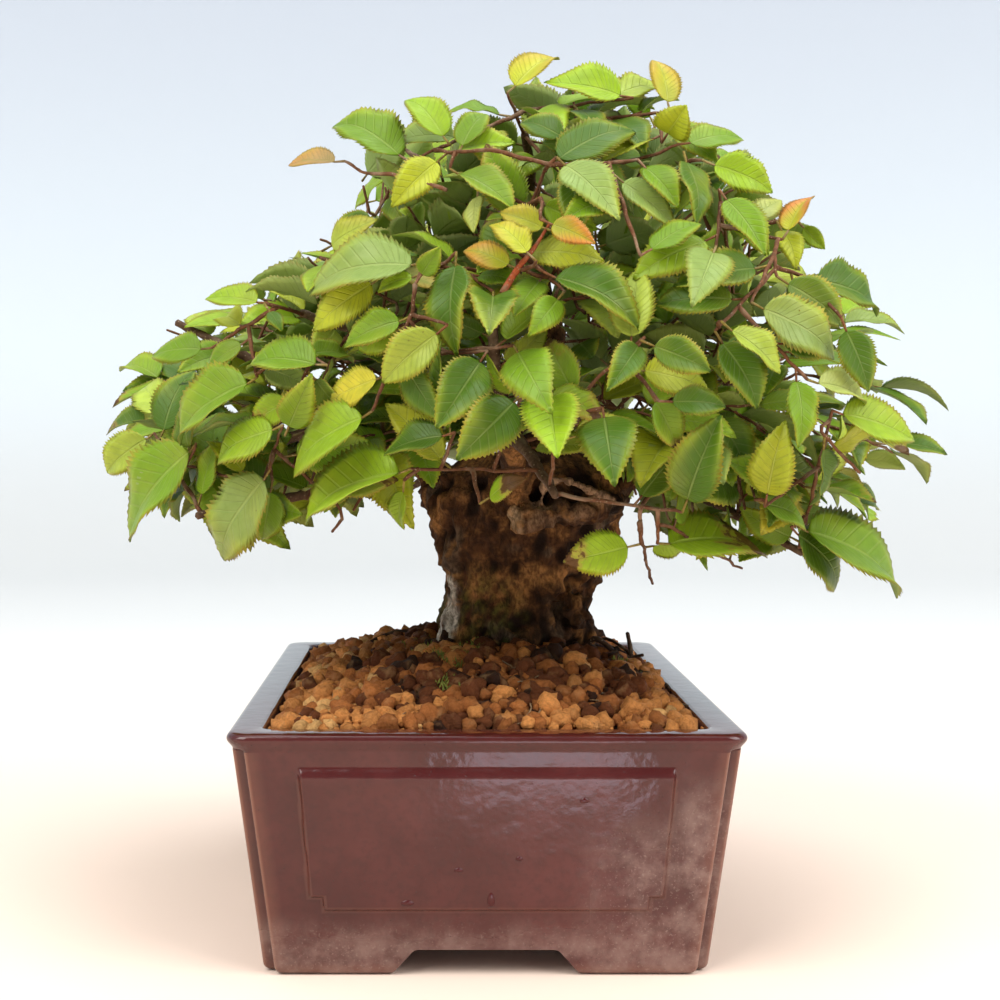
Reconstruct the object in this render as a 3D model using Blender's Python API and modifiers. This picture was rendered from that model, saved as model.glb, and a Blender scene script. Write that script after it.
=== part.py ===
"""Korean hornbeam bonsai in its glazed rectangular pot.

The short side of the pot is the front, which faces -Y. The origin lies on the table under the middle
of the object, with +Z up. Blender's unit is the metre. Places that were chosen by hand are written in
millimetres and pass through mm().
"""

import math
import random
from collections import namedtuple

import bmesh
import bpy
from mathutils import Matrix, Vector
from mathutils.bvhtree import BVHTree
from mathutils.geometry import intersect_point_line

OBJECT_NAME = "korean_hornbeam_bonsai"

# The pot, in metres
POT_WIDTH = 0.140
POT_DEPTH = 0.192
POT_HEIGHT = 0.0677
POT_TAPER = 0.0091
RIM_WIDTH = 0.0095
LIP_HEIGHT = 0.005
LIP_PROUD = 0.001
LIP_CORNER = 0.006
LIP_ROUND = 0.0017
INNER_CORNER = 0.004
INNER_ROUND = 0.0013
CORNER_NOTCH = 0.0034
NOTCH_ROUND = 0.0012
FOOT_HEIGHT = 0.0074
FOOT_ROUND = 0.0022
FOOT_SLOPE = 0.0065
FOOT_WALL = 0.015
UNDERSIDE = 0.0072
OPENING_FRONT = 0.026
OPENING_SIDE = 0.046
FLOOR_TOP = 0.0137
WALL_AT_FLOOR = 0.0075
PANEL_FOOT = 0.0185
PANEL_TOP = 0.0585
PANEL_HALF_FRONT = 0.0508
PANEL_HALF_SIDE = 0.0768
PANEL_LEAN = 0.003
PANEL_STEP = 0.0036
PANEL_SOFT = 0.0008
PANEL_THICKNESS = 0.004
PANEL_BEVEL = 0.0006
PANEL_PROUD_TOP = 0.0015
PANEL_PROUD_FOOT = 0.0006
DRAIN_RADIUS = 0.007
DRAIN_OFFSET = 0.042
MESH_SIZE = 0.022
MESH_THICKNESS = 0.001
FIT_GAP = 0.0004
REST_GAP = 0.0003

# The soil, in metres
SOIL_EDGE = 0.0652
SOIL_TOP = 0.0822
GRAIN_HEIGHT = 0.002
GRAIN_COLUMNS = 12
GRAIN_ROWS = 17
GRAIN_SHIFT = 0.0009

# The crown of leaves fills an egg-shaped dome, whose left side stands further back, in metres. The
# viewpoint is where the object is seen from in the reference view
DOME_MIDDLE = Vector((0.005, 0.0, 0.152))
DOME_ACROSS = 0.131
DOME_DEEP = 0.108
DOME_UP = 0.114
DOME_DOWN = 0.056
DOME_LEAN = 0.25
VIEWPOINT = Vector((-0.015, -0.512, 0.1467))

# Leaves and twigs, in metres
RIB_THICKNESS = 0.0012
STALK_LENGTH = 0.0035
STALK_HALF = 0.00045
STALK_GROWTH = 0.00015
LEAF_SHAPE = 0.6
LEAF_ARCH = 0.07
LEAF_FOLD = 0.12
RIB_PLACE = 0.42
CLEARANCE = 0.0004
TWIG_ROOT_RADIUS = 0.00095
TWIG_TIP_RADIUS = 0.00065
TWIG_BENDS = (0.0, 0.12, -0.12, 0.25, -0.25)
TWIG_FEET = 5
WELD_DISTANCES = (0.00003, 0.00001, 0.000003)
SEED = 27

# The sharpest turn a leaf's stalk makes where it meets its twig, as a cosine. Past it, the leaf sits
# on a round twig of its own
SHARPEST_TURN = -0.35

# How much a leaf that is seen from the front may slope along the line of sight, and how far it is
# moved towards the eye until it crosses nothing, in metres
FRONT_SLOPE = 0.6
FRONT_SHIFTS = (0, 0.004, -0.004, 0.008, -0.008, 0.013, -0.013, 0.018, -0.02)

# Sprays that fill the rest of the dome. Those that face the front lie further in, and those that
# face it squarely are left out
SPRAY_COUNT = 36
SPRAY_LIFTS = (-0.64, 0.97)
SPRAY_LAYERS = (0.8, 0.9)
INNER_LAYERS = (0.66, 0.76)
INNER_FROM = 0.45
LEFT_OUT_FROM = 0.8
DOME_LIMIT = 1.04
SPRAY_STEM = 0.026
SPRAY_ANGLE = math.radians(52)
SPRAY_PLACES = (0.3, 0.56, 0.82)
SPRAY_LEAF = 0.024
GOLDEN_TURN = math.radians(137.508)

# Sprays that close the gaps between the others: where each stem ends, in millimetres
GAP_SPRAYS = (
    (26, -12, 234),
    (22, 38, 232),
    (-40, 58, 218),
    (-4, 80, 200),
    (-26, -36, 200),
    (68, -48, 190),
    (-66, -11, 190),
    (-88, 22, 188),
    (74, 38, 188),
)

# The crown's upper edge as it is seen from the front, across and up in millimetres on the plane of the
# trunk. Leaves of the sprays that would be seen above it are left out
HIGH_LINE = (
    (-150, 160), (-118, 173), (-106, 177), (-88, 194), (-67, 203), (-49, 211), (-38, 226), (-32, 242),
    (-20, 257), (10, 266), (60, 268), (72, 252), (86, 244), (97, 228), (110, 224), (114, 210),
    (132, 194), (141, 180), (150, 175),
)

# Places along half a leaf's edge, and the share of its smooth width there, which make the teeth. The
# first row is the room that a leaf takes up, and the leaf that is made stays inside it
ROOM_EDGE = ((0.1, 1.0), (0.36, 1.08), (0.45, 0.9), (0.7, 1.15))
TOOTHED_EDGE = ((0.28, 1.04), (0.45, 0.9), (0.7, 1.15))

# The trunk's outline from the front: height, left edge, right edge, half depth, in millimetres
TRUNK_STATIONS = (
    (44, -5, 29, 15),
    (70, -10, 33, 18),
    (82, -14, 36, 21),
    (88, -13, 35, 20),
    (95, -11, 34, 19),
    (102, -10, 39, 20),
    (108, -12, 43, 22),
    (118, -13, 46, 24),
    (126, -16, 49, 24),
    (134, -12, 45, 21),
    (141, -2, 35, 14),
)
TRUNK_SIDES = 22
TRUNK_MIDDLE = 0.012

# The trunk's thick limbs: points in millimetres, and the radius at each
SCAFFOLDS = (
    ((16, 2, 122), (20, 4, 150), (24, 2, 180), (18, 0, 206)),
    ((0, 6, 122), (-18, 10, 138), (-40, 14, 150)),
    ((36, 2, 124), (54, 4, 140), (72, 0, 152)),
    ((18, 14, 122), (20, 38, 138), (16, 60, 150)),
    ((14, -10, 122), (12, -32, 136), (8, -52, 147)),
)
SCAFFOLD_RADII = (0.0085, 0.0052, 0.0042, 0.0034)

# Cut limbs and knots on the trunk: points and radii in millimetres
STUB_LIMB = ((44, -16, 126), (30, -26, 124), (11, -29, 121))
STUB_RADII = (3.4, 3.3, 4.2)
PALE_TWIG = ((17, -24, 121), (20, -31, 132), (25, -31, 134), (42, -24, 127))
PALE_TWIG_RADII = (1.6, 1.3, 1.2, 1.2)
BURL = ((31, -15, 92), (6, 5, 6))
HOLLOW = ((18, -25, 133), (6, 8, 8))

# Leafy branches: how far the trunk's stump reaches along the first stretch, then points in millimetres
BRANCHES = {
    "low_left_front": (11, ((-18, 10, 138), (-32, -20, 133), (-56, -46, 129), (-82, -60, 124))),
    "low_left": (8, ((-40, 14, 150), (-66, 22, 146), (-92, 32, 141), (-112, 38, 133))),
    "low_left_back": (8, ((-40, 14, 150), (-56, 42, 149), (-74, 68, 141), (-86, 84, 131))),
    "low_back_left": (11, ((20, 38, 138), (0, 62, 137), (-18, 82, 131), (-26, 98, 124))),
    "low_back_right": (8, ((16, 60, 150), (34, 76, 147), (50, 90, 139), (60, 98, 130))),
    "low_right_back": (11, ((54, 4, 140), (68, 30, 139), (86, 54, 135), (98, 70, 128))),
    "low_right": (8, ((72, 0, 152), (92, 2, 146), (110, -4, 136), (122, -12, 124))),
    "low_right_front": (11, ((54, 4, 140), (62, -24, 132), (76, -50, 123), (90, -66, 114))),
    "low_front": (8, ((8, -52, 147), (10, -68, 145), (14, -82, 139), (18, -94, 131))),
    "middle_left": (8, ((-40, 14, 150), (-60, 8, 166), (-82, 4, 176), (-98, 6, 184))),
    "middle_left_front": (11, ((20, 4, 150), (-6, -18, 165), (-32, -44, 176), (-52, -60, 182))),
    "middle_front": (8, ((8, -52, 147), (4, -62, 162), (2, -72, 178), (4, -78, 190))),
    "middle_right_front": (11, ((20, 4, 150), (42, -20, 163), (60, -44, 174), (74, -58, 180))),
    "middle_right": (8, ((72, 0, 152), (84, 2, 168), (98, 0, 182), (108, -6, 192))),
    "middle_right_back": (11, ((20, 4, 150), (44, 28, 166), (62, 52, 178), (76, 64, 184))),
    "middle_back": (8, ((16, 60, 150), (12, 70, 168), (8, 78, 184), (6, 80, 194))),
    "middle_left_back": (11, ((20, 4, 150), (-8, 30, 166), (-32, 56, 178), (-48, 70, 184))),
    "top_left": (8, ((18, 0, 206), (0, -4, 223), (-22, -8, 236), (-38, -10, 243))),
    "top_front": (8, ((18, 0, 206), (16, -22, 220), (14, -40, 229), (12, -52, 234))),
    "top_right": (8, ((18, 0, 206), (40, 0, 220), (60, -4, 232), (76, -8, 235))),
    "top_back": (8, ((18, 0, 206), (20, 24, 222), (20, 42, 231), (18, 54, 235))),
}
BRANCH_RADII = (0.0024, 0.0019, 0.0015, 0.0011)

# Cut and bare twigs seen from the front, from the thick end to the tip, across and up in millimetres
BARE_TWIGS = (
    (62, 118, 86, 104),
    (52, 118, 57, 99),
    (110, 149, 124, 135),
    (-42, 122, -47, 116),
    (-77, 133, -108, 141),
)

# Leaves that stand out from the front: across and up at the stalk, across and up at the tip, and how
# wide the leaf looks, in millimetres on the upright plane through the trunk
FRONT_LEAVES = (
    # The crown
    (12, 259, 26, 270, 9),
    (46, 256, 21, 260, 11),
    (61, 254, 57, 269, 9),
    (61, 244, 67, 253, 14),
    (27, 243, 13, 249, 9),
    (26, 236, 51, 247, 13),
    (28, 234, 46, 217, 14),
    (54, 233, 65, 221, 9),
    # Upper left
    (-25, 237, -47, 250, 14),
    (-11, 243, -23, 257, 11),
    (-5, 240, 3, 252, 9),
    (-46, 235, -61, 234, 5),
    (-13, 235, -28, 221, 12),
    (-6, 231, 12, 220, 9),
    (0, 224, -1, 212, 6),
    # Upper right
    (67, 235, 72, 216, 9),
    (68, 241, 86, 243, 8),
    (76, 234, 96, 226, 12),
    (80, 223, 93, 205, 11),
    (76, 206, 70, 191, 17),
    (100, 213, 108, 225, 7),
    (105, 214, 112, 207, 6),
    (56, 207, 72, 216, 8),
    # Left
    (-71, 190, -88, 191, 8),
    (-21, 202, -57, 196, 15),
    (-21, 198, -33, 194, 6),
    (-18, 199, -12, 208, 8),
    (-34, 196, -54, 181, 14),
    (-25, 184, -44, 176, 11),
    (-67, 187, -63, 181, 5),
    # Far left
    (-89, 175, -106, 173, 10),
    (-74, 164, -100, 146, 14),
    (-66, 149, -87, 139, 13),
    (-52, 170, -76, 171, 12),
    (-61, 150, -54, 166, 13),
    (-107, 146, -121, 135, 12),
    (-93, 142, -115, 113, 17),
    (-69, 133, -86, 106, 19),
    # Low on the left
    (-25, 135, -59, 121, 15),
    (-37, 153, -63, 135, 15),
    (-11, 147, -31, 141, 10),
    (-24, 129, -25, 116, 6),
    (-67, 129, -70, 112, 13),
    # Over the trunk
    (-7, 202, -8, 173, 14),
    (5, 192, 4, 182, 18),
    (-13, 180, -32, 164, 15),
    (1, 171, -13, 150, 18),
    (13, 174, 22, 158, 19),
    (12, 158, -6, 140, 19),
    (23, 159, 26, 140, 20),
    (41, 153, 44, 134, 21),
    (24, 161, 42, 152, 10),
    (52, 176, 43, 163, 12),
    (57, 176, 76, 168, 12),
    (26, 191, 17, 180, 11),
    # The young shoot in front
    (21, 214, 7, 219, 9),
    (24, 215, 38, 209, 9),
    (17, 206, 41, 204, 11),
    (10, 202, -5, 208, 9),
    (16, 206, 4, 217, 9),
    (25, 198, 54, 184, 12),
    # Right
    (100, 196, 119, 183, 13),
    (92, 188, 118, 173, 16),
    (109, 197, 132, 188, 12),
    (119, 181, 127, 161, 12),
    (79, 177, 92, 156, 13),
    (82, 181, 98, 167, 8),
    (110, 164, 127, 158, 8),
    (118, 154, 141, 145, 13),
    # Low on the right
    (68, 126, 79, 154, 18),
    (94, 128, 99, 151, 15),
    (107, 116, 140, 97, 15),
    (104, 115, 120, 97, 12),
    (93, 125, 109, 118, 8),
    (62, 112, 96, 111, 15),
    (49, 111, 28, 106, 16),
    (4, 127, 15, 134, 7),
    (63, 158, 81, 157, 10),
)

Leaf = namedtuple("Leaf", "node base tip normal width arch fold knots", defaults=[()])
Stem = namedtuple("Stem", "node points radii")


def mm(x, y, z):
    return Vector((x, y, z)) * 0.001


# Blender helpers


def clear_scene():
    for thing in list(bpy.data.objects):
        bpy.data.objects.remove(thing, do_unlink=True)


def new_collection(name, helper=False):
    collection = bpy.data.collections.new(name)
    bpy.context.scene.collection.children.link(collection)
    collection.hide_render = helper
    return collection


def new_material(name, colour, roughness):
    material = bpy.data.materials.new(name)
    material.use_nodes = True
    shader = material.node_tree.nodes["Principled BSDF"]
    shader.inputs["Base Color"].default_value = (*colour, 1.0)
    shader.inputs["Roughness"].default_value = roughness
    shader.inputs["Metallic"].default_value = 0.0
    return material


def add_mesh(name, mesh, collection):
    thing = bpy.data.objects.new(name, mesh)
    collection.objects.link(thing)
    if collection.hide_render:
        thing.hide_render = True
        thing.display_type = "WIRE"
    return thing


def mesh_of(bm, name):
    mesh = bpy.data.meshes.new(name)
    bm.to_mesh(mesh)
    bm.free()
    return mesh


def mesh_of_curve(thing):
    """The mesh of a curve object, with its loose caps welded on. The curve is removed."""
    mesh = bpy.data.meshes.new_from_object(thing)
    bpy.data.objects.remove(thing, do_unlink=True)
    bm = bmesh.new()
    bm.from_mesh(mesh)
    bmesh.ops.remove_doubles(bm, verts=bm.verts, dist=0.000001)
    bmesh.ops.recalc_face_normals(bm, faces=bm.faces)
    bm.to_mesh(mesh)
    bm.free()
    return mesh


def tube(name, points, radii, collection, resolution=0):
    """A round stem through the points, with 4 + 2 * resolution sides."""
    curve = bpy.data.curves.new(name, "CURVE")
    curve.dimensions = "3D"
    curve.bevel_depth = radii[0]
    curve.bevel_resolution = resolution
    curve.use_fill_caps = True
    spline = curve.splines.new("POLY")
    spline.points.add(len(points) - 1)
    for knot, point, radius in zip(spline.points, points, radii):
        knot.co = (*point, 1.0)
        knot.radius = radius / radii[0]
    return add_mesh(name, mesh_of_curve(bpy.data.objects.new(name, curve)), collection)


def flat_plate(name, outline, half_thickness, collection, bevel=0.0):
    """A flat outline with thickness, lying in XY round the origin."""
    curve = bpy.data.curves.new(name, "CURVE")
    curve.dimensions = "2D"
    curve.fill_mode = "BOTH"
    curve.extrude = half_thickness - bevel
    curve.bevel_depth = bevel
    curve.bevel_resolution = 1
    curve.offset = -bevel
    spline = curve.splines.new("POLY")
    spline.points.add(len(outline) - 1)
    for knot, (x, y) in zip(spline.points, outline):
        knot.co = (x, y, 0.0, 1.0)
    spline.use_cyclic_u = True
    return add_mesh(name, mesh_of_curve(bpy.data.objects.new(name, curve)), collection)


def box(name, middle, size, collection):
    bm = bmesh.new()
    bmesh.ops.create_cube(bm, size=1.0)
    bmesh.ops.scale(bm, vec=size, verts=bm.verts)
    bmesh.ops.translate(bm, vec=middle, verts=bm.verts)
    return add_mesh(name, mesh_of(bm, name), collection)


def ball(name, middle, radii, collection):
    bm = bmesh.new()
    bmesh.ops.create_icosphere(bm, subdivisions=2, radius=1.0)
    bmesh.ops.scale(bm, vec=radii, verts=bm.verts)
    bmesh.ops.translate(bm, vec=middle, verts=bm.verts)
    return add_mesh(name, mesh_of(bm, name), collection)


def loft(name, rings, collection):
    """A closed solid through rings of equal count, each counter-clockwise from above, lowest first. Its
    sides are triangles, so that a hole lofted through wider rings keeps an even gap."""
    bm = bmesh.new()
    rows = [[bm.verts.new(point) for point in ring] for ring in rings]
    for lower, upper in zip(rows, rows[1:]):
        for i in range(len(lower)):
            after = (i + 1) % len(lower)
            bm.faces.new((lower[i], lower[after], upper[after]))
            bm.faces.new((lower[i], upper[after], upper[i]))
    bm.faces.new(list(reversed(rows[0])))
    bm.faces.new(rows[-1])
    return add_mesh(name, mesh_of(bm, name), collection)


def combine(thing, helpers, operation, solver="EXACT"):
    """Joins or cuts the object with everything in the helper collection, which is then emptied."""
    modifier = thing.modifiers.new(operation.title(), "BOOLEAN")
    modifier.operation = operation
    modifier.operand_type = "COLLECTION"
    modifier.collection = helpers
    modifier.solver = solver
    bpy.context.view_layer.update()
    graph = bpy.context.evaluated_depsgraph_get()
    mesh = bpy.data.meshes.new_from_object(thing.evaluated_get(graph))
    thing.modifiers.clear()
    thing.data = mesh
    for helper in list(helpers.objects):
        bpy.data.objects.remove(helper, do_unlink=True)


def body_from(vert, waiting):
    """The vertices that hang together with this one. They are taken out of the waiting set."""
    body = [vert]
    for member in body:
        for edge in member.link_edges:
            other = edge.other_vert(member)
            if other in waiting:
                waiting.discard(other)
                body.append(other)
    return body


def weld_slivers(thing):
    """Makes vertices that a union left very close together one, as far as the mesh stays closed."""
    for distance in WELD_DISTANCES:
        bm = bmesh.new()
        bm.from_mesh(thing.data)
        bmesh.ops.remove_doubles(bm, verts=bm.verts, dist=distance)
        bmesh.ops.dissolve_degenerate(bm, edges=bm.edges, dist=distance / 3)
        bmesh.ops.triangulate(bm, faces=bm.faces)
        closed = all(edge.is_manifold for edge in bm.edges) and all(vert.is_manifold for vert in bm.verts)
        if closed:
            bm.to_mesh(thing.data)
        bm.free()
        if closed:
            return


def drop_scraps(thing):
    """Keeps only the largest body of the object's mesh."""
    bm = bmesh.new()
    bm.from_mesh(thing.data)
    waiting = set(bm.verts)
    bodies = []
    while waiting:
        bodies.append(body_from(waiting.pop(), waiting))
    bodies.sort(key=len)
    scraps = [vert for body in bodies[:-1] for vert in body]
    bmesh.ops.delete(bm, geom=scraps, context="VERTS")
    bm.to_mesh(thing.data)
    bm.free()


def finish_piece(thing, material):
    thing.data.materials.clear()
    thing.data.materials.append(material)
    thing.data.shade_smooth()
    thing.data.set_sharp_from_angle(angle=math.radians(35))


# Pot


def outline(half_x, half_y, corner):
    """A rectangle, counter-clockwise. Each corner point is given by how far it stands in from the side
    before it and from the side after it."""
    points = [(half_x - u, half_y - v) for u, v in corner]
    points += [(-half_x + v, half_y - u) for u, v in corner]
    points += [(-half_x + u, -half_y + v) for u, v in corner]
    points += [(half_x - v, -half_y + u) for u, v in corner]
    return points


def round_corner(radius, steps=6):
    turns = [math.pi / 2 * step / steps for step in range(steps + 1)]
    return [(radius * (1 - math.cos(turn)), radius * (1 - math.sin(turn))) for turn in turns]


def notched_corner(notch, rounding):
    soft = 0.3 * rounding
    half = [(0.0, notch + rounding), (soft, notch + soft), (rounding, notch)]
    return half + [(notch, notch)] + [(v, u) for u, v in reversed(half)]


def wall_inset(height):
    """How far the outside of the wall stands in from the lip at this height."""
    return LIP_PROUD + (POT_TAPER - LIP_PROUD) * (1 - height / POT_HEIGHT)


def inner_half(height, gap=0.0):
    """Half width and half depth of the inside of the pot, less a gap."""
    share = (height - FLOOR_TOP) / (POT_HEIGHT - FLOOR_TOP)
    inset_at_floor = WALL_AT_FLOOR + wall_inset(FLOOR_TOP)
    inset = inset_at_floor + (RIM_WIDTH - inset_at_floor) * share
    return POT_WIDTH / 2 - inset - gap, POT_DEPTH / 2 - inset - gap


def pot_ring(height, inset, corner):
    half_x = POT_WIDTH / 2 - inset
    half_y = POT_DEPTH / 2 - inset
    return [Vector((x, y, height)) for x, y in outline(half_x, half_y, corner)]


def pot_rings():
    """The pot's rings from the foot up the outside, over the lip and down to the floor inside."""
    body = notched_corner(CORNER_NOTCH, NOTCH_ROUND)
    lip = round_corner(LIP_CORNER)
    inner = round_corner(INNER_CORNER)
    lip_foot = POT_HEIGHT - LIP_HEIGHT
    return [
        pot_ring(0.0, wall_inset(0) + FOOT_ROUND, body),
        pot_ring(0.3 * FOOT_ROUND, wall_inset(0) + 0.35 * FOOT_ROUND, body),
        pot_ring(FOOT_ROUND, wall_inset(FOOT_ROUND), body),
        pot_ring(lip_foot, wall_inset(lip_foot), body),
        pot_ring(lip_foot + 0.0008, 0.0003, lip),
        pot_ring(POT_HEIGHT - LIP_ROUND, 0.0, lip),
        pot_ring(POT_HEIGHT - 0.3 * LIP_ROUND, 0.3 * LIP_ROUND, lip),
        pot_ring(POT_HEIGHT, LIP_ROUND, lip),
        pot_ring(POT_HEIGHT, RIM_WIDTH - INNER_ROUND, inner),
        pot_ring(POT_HEIGHT - INNER_ROUND, RIM_WIDTH, inner),
        pot_ring(FLOOR_TOP, POT_WIDTH / 2 - inner_half(FLOOR_TOP)[0], inner),
    ]


def panel_outline(half_width, height):
    """One raised panel: stepped lower corners, plain upper ones, and a foot at y = 0."""
    half_foot = half_width - PANEL_LEAN
    right = [
        (half_foot - PANEL_STEP - PANEL_SOFT, 0.0),
        (half_foot - PANEL_STEP, PANEL_SOFT),
        (half_foot - PANEL_STEP, PANEL_STEP),
        (half_foot - PANEL_SOFT, PANEL_STEP + PANEL_SOFT),
        (half_foot, PANEL_STEP + 2 * PANEL_SOFT),
        (half_width, height - 2 * PANEL_SOFT),
        (half_width - 2 * PANEL_SOFT, height),
    ]
    return right + [(-x, y) for x, y in reversed(right)]


def wall_panel(name, half_width, half_wall, turn, helpers):
    """A panel sunk into the wall and proud of it most at its upper edge."""
    height = PANEL_TOP - PANEL_FOOT
    half_thickness = PANEL_THICKNESS / 2
    plate = flat_plate(name, panel_outline(half_width, height), half_thickness, helpers, PANEL_BEVEL)
    flare = wall_inset(PANEL_FOOT) - wall_inset(PANEL_TOP) + PANEL_PROUD_TOP - PANEL_PROUD_FOOT
    outward = half_wall - wall_inset(PANEL_FOOT) + PANEL_PROUD_FOOT - half_thickness
    stand = Matrix.Rotation(math.pi / 2 + math.atan(flare / height), 4, "X")
    place = Matrix.Translation((0.0, -outward, PANEL_FOOT))
    plate.data.transform(Matrix.Rotation(turn, 4, "Z") @ place @ stand)


def foot_opening(name, half_width, turn, helpers):
    """The space between two feet, cut right through under the pot."""
    top = half_width - FOOT_SLOPE
    below = -0.001
    shape = [(half_width, below), (half_width, 0.0), (top, FOOT_HEIGHT)]
    shape += [(-x, y) for x, y in reversed(shape)]
    opening = flat_plate(name, shape, POT_DEPTH, helpers)
    stand = Matrix.Rotation(math.pi / 2, 4, "X")
    opening.data.transform(Matrix.Rotation(turn, 4, "Z") @ stand)


def drain_hole(name, y, helpers):
    bm = bmesh.new()
    bmesh.ops.create_cone(
        bm, cap_ends=True, segments=20, radius1=DRAIN_RADIUS, radius2=DRAIN_RADIUS, depth=0.03
    )
    bmesh.ops.translate(bm, vec=(0.0, y, FLOOR_TOP), verts=bm.verts)
    add_mesh(name, mesh_of(bm, name), helpers)


def build_pot(parts, helpers):
    pot = loft("pot", pot_rings(), parts)
    half_x = POT_WIDTH / 2
    half_y = POT_DEPTH / 2
    wall_panel("panel_front", PANEL_HALF_FRONT, half_y, 0.0, helpers)
    wall_panel("panel_back", PANEL_HALF_FRONT, half_y, math.pi, helpers)
    wall_panel("panel_right", PANEL_HALF_SIDE, half_x, math.pi / 2, helpers)
    wall_panel("panel_left", PANEL_HALF_SIDE, half_x, -math.pi / 2, helpers)
    combine(pot, helpers, "UNION")
    foot_opening("opening_front", OPENING_FRONT, 0.0, helpers)
    foot_opening("opening_side", OPENING_SIDE, math.pi / 2, helpers)
    inset = wall_inset(0) + FOOT_WALL
    hollow = (POT_WIDTH - 2 * inset, POT_DEPTH - 2 * inset, 2 * UNDERSIDE)
    box("under_hollow", (0.0, 0.0, 0.0), hollow, helpers)
    drain_hole("drain_front", -DRAIN_OFFSET, helpers)
    drain_hole("drain_back", DRAIN_OFFSET, helpers)
    combine(pot, helpers, "DIFFERENCE")
    finish_piece(pot, new_material("brown_glaze", (0.13, 0.055, 0.046), 0.22))


def build_drain_mesh(name, y, parts):
    """A square of plastic mesh over one drain hole, with four openings."""
    cells = 5
    bm = bmesh.new()
    bmesh.ops.create_grid(bm, x_segments=cells, y_segments=cells, size=MESH_SIZE / 2)
    cell = MESH_SIZE / cells
    holes = []
    for face in bm.faces:
        middle = face.calc_center_median()
        column = int((middle.x + MESH_SIZE / 2) / cell)
        row = int((middle.y + MESH_SIZE / 2) / cell)
        if column % 2 and row % 2:
            holes.append(face)
    bmesh.ops.delete(bm, geom=holes, context="FACES_ONLY")
    thing = add_mesh(name, mesh_of(bm, name), parts)
    thing.location = (0.0, y, FLOOR_TOP + REST_GAP)
    solidify = thing.modifiers.new("Thickness", "SOLIDIFY")
    solidify.thickness = MESH_THICKNESS
    solidify.offset = 1.0
    thing.data.materials.append(new_material(name + "_plastic", (0.02, 0.02, 0.02), 0.6))


# Soil


def soil_height(x, y, half_x, half_y):
    """The mound's smooth top, highest round the trunk."""
    from_trunk = x - TRUNK_MIDDLE
    reach = half_x - math.copysign(TRUNK_MIDDLE, from_trunk)
    spread = ((abs(from_trunk) / reach) ** 4 + (abs(y) / half_y) ** 4) ** 0.25
    return SOIL_EDGE + (SOIL_TOP - SOIL_EDGE) * (1 - min(spread, 1.0) ** 1.7)


def soil_place(u, v, half_x, half_y):
    """A place in the pot's rounded rectangle, for u and v from -1 to 1."""
    radius = INNER_CORNER - FIT_GAP
    x, y = u * half_x, v * half_y
    over_x = abs(x) - (half_x - radius)
    over_y = abs(y) - (half_y - radius)
    if over_x > 0 and over_y > 0:
        shrink = max(over_x, over_y) / math.hypot(over_x, over_y)
        x = math.copysign(half_x - radius + over_x * shrink, x)
        y = math.copysign(half_y - radius + over_y * shrink, y)
    return x, y


def soil_columns(row):
    """Places across one row, in columns. Every other row is shifted by half a grain."""
    if row % 2 == 0:
        return list(range(GRAIN_COLUMNS + 1))
    return [0] + [column + 0.5 for column in range(GRAIN_COLUMNS)] + [GRAIN_COLUMNS]


def soil_row(row, half_x, half_y, rng):
    """One row of the grainy top. Every third point is the top of a grain."""
    points = []
    for column in soil_columns(row):
        inside = 0 < column < GRAIN_COLUMNS and 0 < row < GRAIN_ROWS
        x, y = soil_place(2 * column / GRAIN_COLUMNS - 1, 2 * row / GRAIN_ROWS - 1, half_x, half_y)
        if inside:
            x += rng.uniform(-GRAIN_SHIFT, GRAIN_SHIFT)
            y += rng.uniform(-GRAIN_SHIFT, GRAIN_SHIFT)
            is_grain = (round(column - row / 2) - row) % 3 == 0
            relief = rng.uniform(0.6, 1.2) if is_grain else rng.uniform(-0.5, 0.1)
            points.append(Vector((x, y, soil_height(x, y, half_x, half_y) + relief * GRAIN_HEIGHT)))
        else:
            points.append(Vector((x, y, SOIL_EDGE - 0.4 * GRAIN_HEIGHT)))
    return points


def stitch_rows(bm, lower, upper):
    """Triangles between two rows of vertices, taken in the order in which they come across."""
    i = j = 0
    while i < len(lower) - 1 or j < len(upper) - 1:
        at_end = j == len(upper) - 1
        if at_end or (i < len(lower) - 1 and lower[i + 1].co.x <= upper[j + 1].co.x):
            bm.faces.new((lower[i], lower[i + 1], upper[j]))
            i += 1
        else:
            bm.faces.new((lower[i], upper[j + 1], upper[j]))
            j += 1


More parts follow.
